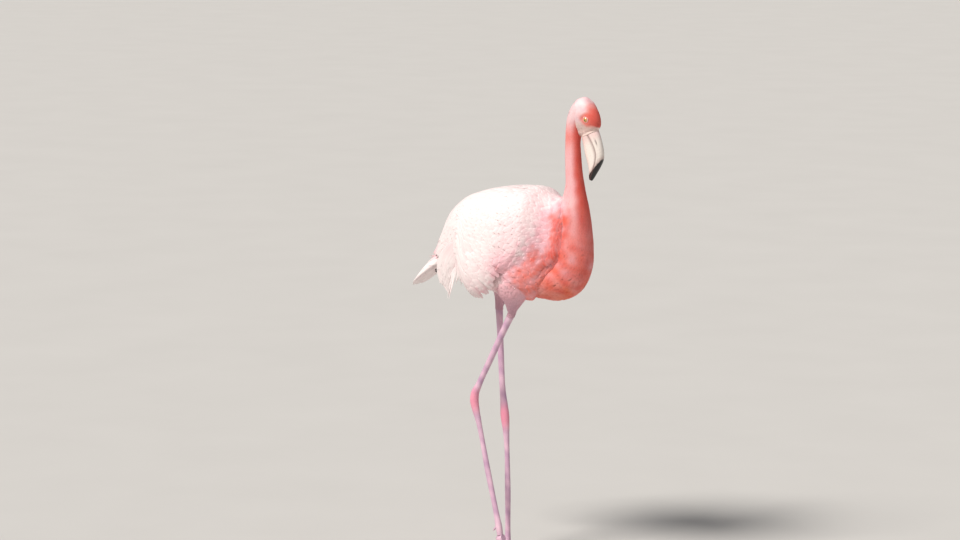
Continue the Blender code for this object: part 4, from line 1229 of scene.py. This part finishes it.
coatSizes = {  # length and width in millimetres, and how closely the rows and the feathers of a row lie
    "trunk": {"length": (46, 30), "width": (26, 17), "rows": 0.30, "beside": 0.45},
    "wing": {"length": (26, 58), "width": (17, 29), "rows": 0.27, "beside": 0.45},
    "back": {"length": 62, "width": 28, "rows": 0.24, "beside": 0.45},
    "shoulder": {"length": (26, 38), "width": (16, 22), "rows": 0.27, "beside": 0.45},
    "neck": {"length": (34, 13), "width": (15, 4.4), "rows": 0.24, "beside": 0.52},
    "head": {"length": (4.0, 8.0), "width": (1.9, 3.2), "rows": 0.36, "beside": 0.58},
    "thigh": {"length": (26, 9), "width": (14, 4.2), "rows": 0.3, "beside": 0.5},
    "plume": {"length": 74, "width": 17, "rows": 0.13, "beside": 0.42},
    "flight": {"length": 72, "width": 13, "rows": 0.15, "beside": 0.5},
    "tail": {"length": 62, "width": 20, "rows": 0.24, "beside": 0.45},
}


def evenSpacing(sizes):
    return lambda u, p: (sizes["rows"] * sizes["length"], sizes["beside"] * sizes["width"])


def growing(sizes, shareAt):
    # The sizes and the spacing of a coat's feathers; shareAt(u, p) is how far they have come from the
    # first size to the last.
    def sizeAt(u, p):
        share = shareAt(u, p)
        return between(sizes["length"], share), between(sizes["width"], share)

    def spacing(u, p):
        length, width = sizeAt(u, p)
        return sizes["rows"] * length, sizes["beside"] * width
    return sizeAt, spacing


def neckDepth(p, inset=5.0):
    return tubeDepth(p, thinner(neckShape["stations"], inset))


def shoulderFeathers():
    # Breast feathers that lie over the bend of each wing, on a surface that ramps up onto it. At the
    # neck it comes down to the breast's own coat.
    sizes, rings, settled = coatSizes["shoulder"], 200, -3.2
    trunk = tubeGrid(trunkShape["stations"], rings, 220, True, trunkShape["squareness"])
    ringAt = np.interp(np.linspace(186, 64, 130), trunk[:, 0, 0], np.arange(rings))
    over = np.linspace(-0.1, 0.6, 150)  # over the top from the left flank to the right one
    trunkFace = surfaceOf(trunk)
    u, v = np.meshgrid(ringAt / (rings - 1), over, indexing="ij")
    skinPoints, normals = (sampleOf(trunkFace, key, u, v) for key in ("points", "normals"))
    x, aside = skinPoints[..., 0], np.abs(np.cos(tau * v))
    bulge = wingShape["rest"] + wingSwell((wingShape["front"] - x) / wingShape["length"])
    ramp = 1 - eased(x, 96, 150)
    lifted = 0.5 + ramp * (bulge * (0.3 + 0.7 * eased(aside, 0.2, 0.7)) - 2.6 * (1 - eased(x, 70, 110)))
    lifted = lifted * (1 - eased(360 * np.abs(v - 0.25), wingEdge(x) - 4, wingEdge(x) + 16))
    fromNeck = neckDepth(skinPoints.reshape(-1, 3)).reshape(x.shape)
    lifted = settled + (lifted - settled) * eased(fromNeck, 1.0, 1.6)
    shoulder = surfaceOf(skinPoints + normals * lifted[..., None], wraps=False)
    facing = (shoulder["normals"] * normals).sum(-1, keepdims=True)
    shoulder["normals"] = shoulder["normals"] * np.sign(facing.mean())
    sizeAt, spacing = growing(sizes, lambda u, p: np.clip(u, 0, 1))
    u, v = rootRows(shoulder, spacing, (0.0, 0.98, 0.0, 1.0))
    fromNeck = neckDepth(sampleOf(shoulder, "points", u, v))
    keep = (fromNeck > 0.7) & (rng.uniform(0.72, 1.0, len(u)) > u)  # thinning out over the wing
    u, v, fromNeck = u[keep], v[keep], fromNeck[keep]
    return layFeathers(shoulder, u, v, trunkFlow, *sizeAt(u, None), asVane(bodyColour), "trunk",
                       coat=np.interp(fromNeck, (1.0, 1.7), (0.6, 4)), lift=0.6, rows=7, columns=7,
                       push=filledCrease)


def makeBodyCoat():
    sizes = coatSizes["trunk"]
    inner = thinner(trunkShape["stations"], 3.5)
    surface = surfaceOf(tubeGrid(inner, 190, 220, True, trunkShape["squareness"]))
    sizeAt, spacing = growing(sizes, lambda u, p: eased(p[..., 0], 20, 140))
    u, v = rootRows(surface, spacing, (0.06, 0.99, 0.0, 1.0))
    root = sampleOf(surface, "points", u, v)
    fromNeck = neckDepth(root)
    keep = fromNeck > 0.62
    u, v, root, fromNeck = u[keep], v[keep], root[keep], fromNeck[keep]
    trunkSet = layFeathers(surface, u, v, trunkFlow, *sizeAt(u, root), asVane(bodyColour), "trunk",
                           coat=np.interp(fromNeck, (1.0, 1.7), (0.8, 6)), lift=0.7, rows=7, columns=7,
                           push=filledBreast)

    sizes = coatSizes["back"]
    x, angle = np.meshgrid(np.linspace(112, -178, 130), np.linspace(-52, 52, 90), indexing="ij")
    aside = np.abs(angle)
    points = mantlePoint(x, aside, 1.0 + 3.0 * eased(aside, 4, 20) - 4 * eased(aside, 34, 52))
    points[..., 1] *= np.where(angle < 0, 1, -1)
    back = surfaceOf(points, wraps=False)
    back["normals"] = np.where((back["normals"][..., 2:] < 0), -1, 1) * back["normals"]
    u, v = rootRows(back, evenSpacing(sizes), (0.0, 0.86, 0.05, 0.95))
    grow = 0.55 + 0.45 * eased(u, 0.0, 0.3)
    backSet = layFeathers(back, u, v, backFlow, sizes["length"] * grow, sizes["width"] * grow,
                          asVane(bodyColour), "back", coat=4, lift=0.55, rows=8, columns=7, yaw=4)

    shoulderSet = shoulderFeathers()
    featherPiece("flank_feathers", [trunkSet], ["trunk"])
    featherPiece("back_feathers", [backSet, shoulderSet], ["trunk"])


def makeWingCoat(side):
    sizes, left = coatSizes["wing"], side == "left"
    surface = wingSurface(left, inset=3.0)

    def shareAt(u, down):
        return np.clip(0.9 * eased(u, 0.05, 0.5) + 0.35 * eased(down, 0.3, 1.0) - 0.2, 0, 1)
    _, spacing = growing(sizes, lambda u, p: shareAt(u, 0.5))
    u, v = rootRows(surface, spacing, (0.0, 0.93, 0.02, 0.99))
    root, grown = sampleOf(surface, "points", u, v), shareAt(u, v)
    length, width = between(sizes["length"], grown), between(sizes["width"], grown)

    def fromEdge(ahead):  # the distance to the lower edge, straight down or a little further back
        edge = sampleOf(surface, "points", np.clip(u + ahead, 0, 1), np.ones_like(u))
        return np.linalg.norm(root - edge, axis=1)
    length = np.minimum(length, np.min([fromEdge(ahead) for ahead in (0.0, 0.03, 0.06)], axis=0) * 1.25 + 9)
    coverts = layFeathers(surface, u, v, wingFlow, length, width, asVane(bodyColour), side + "Wing", coat=3,
                          lift=0.5, rows=8, columns=7, yaw=3.5)
    featherPiece("wing_feathers_" + side, [coverts], ["wing_" + side])


def flightColour(p):
    return blendOf(hue["black"], toLinear("2c2224"), 0.3 + 0 * p[..., 0])


def makeLooseFeathers(side):
    left = side == "left"
    plume = surfaceOf(tubeGrid(thinner(onSide(plumeShape, left), 0.8), 120, 60))
    sizes = coatSizes["plume"]
    u, v = rootRows(plume, evenSpacing(sizes), (0.0, 0.66, 0.0, 1.0))
    length = np.clip((0.96 - u) * 146, 30, 1.15 * sizes["length"]) * rng.uniform(0.88, 1.0, len(u))
    plumes = layFeathers(plume, u, v, downLimb, length, sizes["width"], asVane(bodyColour, fringe=0.05),
                         side + "Plume", coat=0.8, lift=0.7, rows=12, columns=7, yaw=2, tip=0.35,
                         camber=0.03)
    featherPiece("tertials_vanes_" + side, [plumes], ["tertials_" + side])

    flight = surfaceOf(tubeGrid(thinner(onSide(flightShape, left), 0.6), 120, 60))
    sizes = coatSizes["flight"]
    u, v = rootRows(flight, evenSpacing(sizes), (0.0, 0.6, 0.0, 1.0))
    length = np.clip((1.02 - u) * 118, 30, sizes["length"]) * rng.uniform(0.9, 1.03, len(u))
    black = layFeathers(flight, u, v, downLimb, length, sizes["width"],
                        asVane(flightColour, 0.2, 0.0, "100c0d", 0.2), side + "Flight", coat=0.7, lift=0.6,
                        rows=12, columns=7, yaw=1.5, tip=0.5, camber=0.03)
    featherPiece("flight_vanes_" + side, [black], ["flight_feathers_" + side])


def makeTailCoat():
    sizes = coatSizes["tail"]
    surface = surfaceOf(tubeGrid(thinner(tailShape, 1.2), 130, 120))
    u, v = rootRows(surface, evenSpacing(sizes), (0.0, 0.72, 0.0, 1.0))
    length = np.clip((1.0 - u) * 138, 24, 1.1 * sizes["length"]) * rng.uniform(0.9, 1.04, len(u))
    length = length * (0.55 + 0.45 * eased(u, 0.0, 0.35))
    width = sizes["width"] * (0.7 + 0.3 * eased(u, 0, 0.4))
    vanes = layFeathers(surface, u, v, downLimb, length, width,
                        asVane(bodyColour, fringe=0.05, rootShare=0.2), "tail", coat=2.0, lift=0.7, rows=10,
                        columns=7, yaw=2, tip=0.6, camber=0.03)
    featherPiece("tail_feathers", [vanes], ["tail"])


def neckPlumage(p):
    # The neck's marking, painted light and shade included, which turns into the body's where the two meet.
    gap = gapTo(p.reshape(-1, 3), forms["trunk"])[0].reshape(p.shape[:-1])
    return blendOf(bodyColour(p), neckColour(p), eased(gap, 3, 34))


def makeNeckCoat():
    sizes = coatSizes["neck"]
    inset = np.linspace(3.8, 2.0, len(neckShape["stations"]))
    surface = surfaceOf(tubeGrid(thinner(neckShape["stations"], inset), 420, 150))
    sizeAt, spacing = growing(sizes, lambda u, p: eased(u, 0.02, 0.62) ** 0.8)
    u, v = rootRows(surface, spacing, (0.0, 1.0, 0.0, 1.0))
    root = sampleOf(surface, "points", u, v)
    keep = (trunkDepth(root)[0] > 0.86) & (tubeDepth(root, thinner(headStations(), 1.5)) > 0.86)
    u, v = u[keep], v[keep]
    vanes = layFeathers(surface, u, v, downBody, *sizeAt(u, None), asVane(neckPlumage, root="f0a090"), "neck",
                        coat=np.interp(u, (0, 0.4, 1), (4.0, 2.0, 1.6)),
                        lift=np.interp(u, (0, 0.6, 1), (0.8, 0.5, 0.4)), rows=6, columns=3, tip=0.3, yaw=5,
                        camber=0.05, push=outOfTrunk)
    featherPiece("neck_feathers", [vanes], ["neck_base", "neck_lower", "neck_middle", "neck_upper"])


def makeHeadCoat():
    sizes = coatSizes["head"]
    surface = headSurface(1.0)
    usual = {"length": 4.6, "width": 2.7, "rows": sizes["rows"], "beside": sizes["beside"]}
    u, v = rootRows(surface, evenSpacing(usual), (0.06, 0.94, 0.0, 1.0))
    root = sampleOf(surface, "points", u, v)
    along, above = headPlace(root)
    fromEye = eyeGap(along, above)
    lidReach = 6.6 + 4.5 * np.clip((along - eyeShape["place"][0]) / fromEye, 0, 1)
    keep = ((along < 0.5) & ((fromEye > lidReach) | (np.abs(root[:, 1]) < 10))
            & (neckDepth(root, 1.5) > 0.86))
    u, v, along = u[keep], v[keep], along[keep]
    grown = eased(-along, 0, 45)
    vanes = layFeathers(surface, u, v, headFlow, between(sizes["length"], grown),
                        between(sizes["width"], grown), asVane(headColour, 0.04, 0.1, "f4c0b8", 0.12),
                        "head", coat=np.interp(along, (-12, -2), (1.2, 0.4)), lift=0.25, rows=4, columns=3,
                        tip=0.45, camber=0.03, push=filledNape)
    featherPiece("head_feathers", [vanes], ["head"])


def makeThighCoat(side):
    sizes = coatSizes["thigh"]
    surface = surfaceOf(tubeGrid(thinner(thighShape[side], thighShape["coatInset"]), 120, 90))
    sizeAt, spacing = growing(sizes, lambda u, p: eased(u, 0.3, 0.95))
    u, v = rootRows(surface, spacing, (0.05, 0.965, 0.0, 1.0))
    root = sampleOf(surface, "points", u, v)
    keep = trunkDepth(root)[0] > 0.9
    u, v = u[keep], v[keep]
    vanes = layFeathers(surface, u, v, downLimb, *sizeAt(u, None), asVane(limbColour), side + "Thigh",
                        coat=np.interp(u, (0, 0.8, 1), (4, 2, 1)),
                        lift=np.interp(u, (0, 0.8, 1), (0.7, 0.5, 0.4)), push=filledThighs)
    featherPiece("thigh_feathers_" + side, [vanes], ["thigh_" + side])


# The studio: floor, light and camera.

studio = {
    "turn": 35.0, "tilt": 8.5,  # degrees: how far round to the bird's right the camera stands, and its height
    "lens": 114.13,  # millimetres, on a frame 36 mm wide
    "right": -57.5, "up": 678.5, "back": 7150.0,  # the camera's place along its own axes
}


def makeStudio():
    a, e = math.radians(studio["turn"]), math.radians(studio["tilt"])
    back = Vector((math.sin(a) * math.cos(e), -math.cos(a) * math.cos(e), math.sin(e)))
    right = Vector((math.cos(a), math.sin(a), 0))
    up = back.cross(right)
    origin = Vector(shift)
    place = (right * studio["right"] + up * studio["up"] + back * studio["back"]) * mm + origin
    camera = addToScene(bpy.data.objects.new("camera", bpy.data.cameras.new("camera")))
    camera.data.lens, camera.data.sensor_width = studio["lens"], 36.0
    camera.data.clip_end = 60
    camera.location = place
    camera.rotation_euler = back.to_track_quat("Z", "Y").to_euler()
    bpy.context.scene.camera = camera

    floorFinish, tree, shader = newFinish("matt studio paper", Roughness=0.9, Specular_IOR_Level=0.15)
    place = addNode(tree, "ShaderNodeTexCoord")
    grain = addNode(tree, "ShaderNodeTexNoise", {"Scale": 3.0, "Detail": 3.0}, {0: place.outputs["Object"]})
    tone = addNode(tree, "ShaderNodeMix", {6: (*toLinear("c9c6c2"), 1), 7: (*toLinear("cfccc8"), 1)},
                   {0: grain.outputs[0]}, data_type="RGBA")
    tree.links.new(tone.outputs[2], shader.inputs["Base Color"])
    half, count, below = 45.0, 41, 0.0004  # metres; the floor lies just under the feet
    u, v = np.meshgrid(np.linspace(-half, half, count), np.linspace(-half, half, count), indexing="ij")
    floorPoints = np.stack([u, v, 0 * u - below], -1).reshape(-1, 3)
    floor = makePiece("floor", (floorPoints - shift) / mm, gridFaces(count, count), floorFinish)

    def addLight(name, azimuth, elevation, spread, strength, colour):
        # Even light from one side, as from a far softbox that fills spread degrees. The azimuth is
        # measured round from the camera's direction towards its left.
        turned = math.atan2(back.y, back.x) - math.radians(azimuth)
        lift = math.radians(elevation)
        level = math.cos(lift)
        toward = Vector((math.cos(turned) * level, math.sin(turned) * level, math.sin(lift)))
        lamp = addToScene(bpy.data.objects.new(name, bpy.data.lights.new(name, "SUN")))
        lamp.data.energy, lamp.data.angle, lamp.data.color = strength, math.radians(spread), colour
        lamp.location = Vector((0, 0, 0.65)) + toward * 4
        lamp.rotation_euler = toward.to_track_quat("Z", "Y").to_euler()
    addLight("keyLight", 50, 50, 18, 3.7, (1.0, 0.97, 0.93))
    addLight("fillLight", -60, 20, 60, 0.22, (0.93, 0.95, 1.0))
    world = bpy.data.worlds.new("studioAir")
    bpy.context.scene.world = world
    world.use_nodes = True
    air = world.node_tree.nodes["Background"]
    air.inputs[0].default_value = (*toLinear("d4d6da"), 1)
    air.inputs[1].default_value = 0.34
    bpy.context.scene.view_settings.view_transform = "Standard"
    print("studio set")


finishes = {"feather": featherVane(), "skin": downySkin(), "leg": scalyLegSkin(), "bill": billHorn(),
            "eye": wetEye(), "claw": blackClaw()}
makeStudio()
makeSkin()
halfBill("bill_upper_horn", "culmen", "bill_upper")
halfBill("bill_lower_horn", "chin", "bill_lower")
makeEye("right", -1)
makeEye("left", 1)
makeClaws()
makeBodyCoat()
makeNeckCoat()
makeHeadCoat()
makeTailCoat()
for side in ("right", "left"):
    makeWingCoat(side)
    makeLooseFeathers(side)
    makeThighCoat(side)
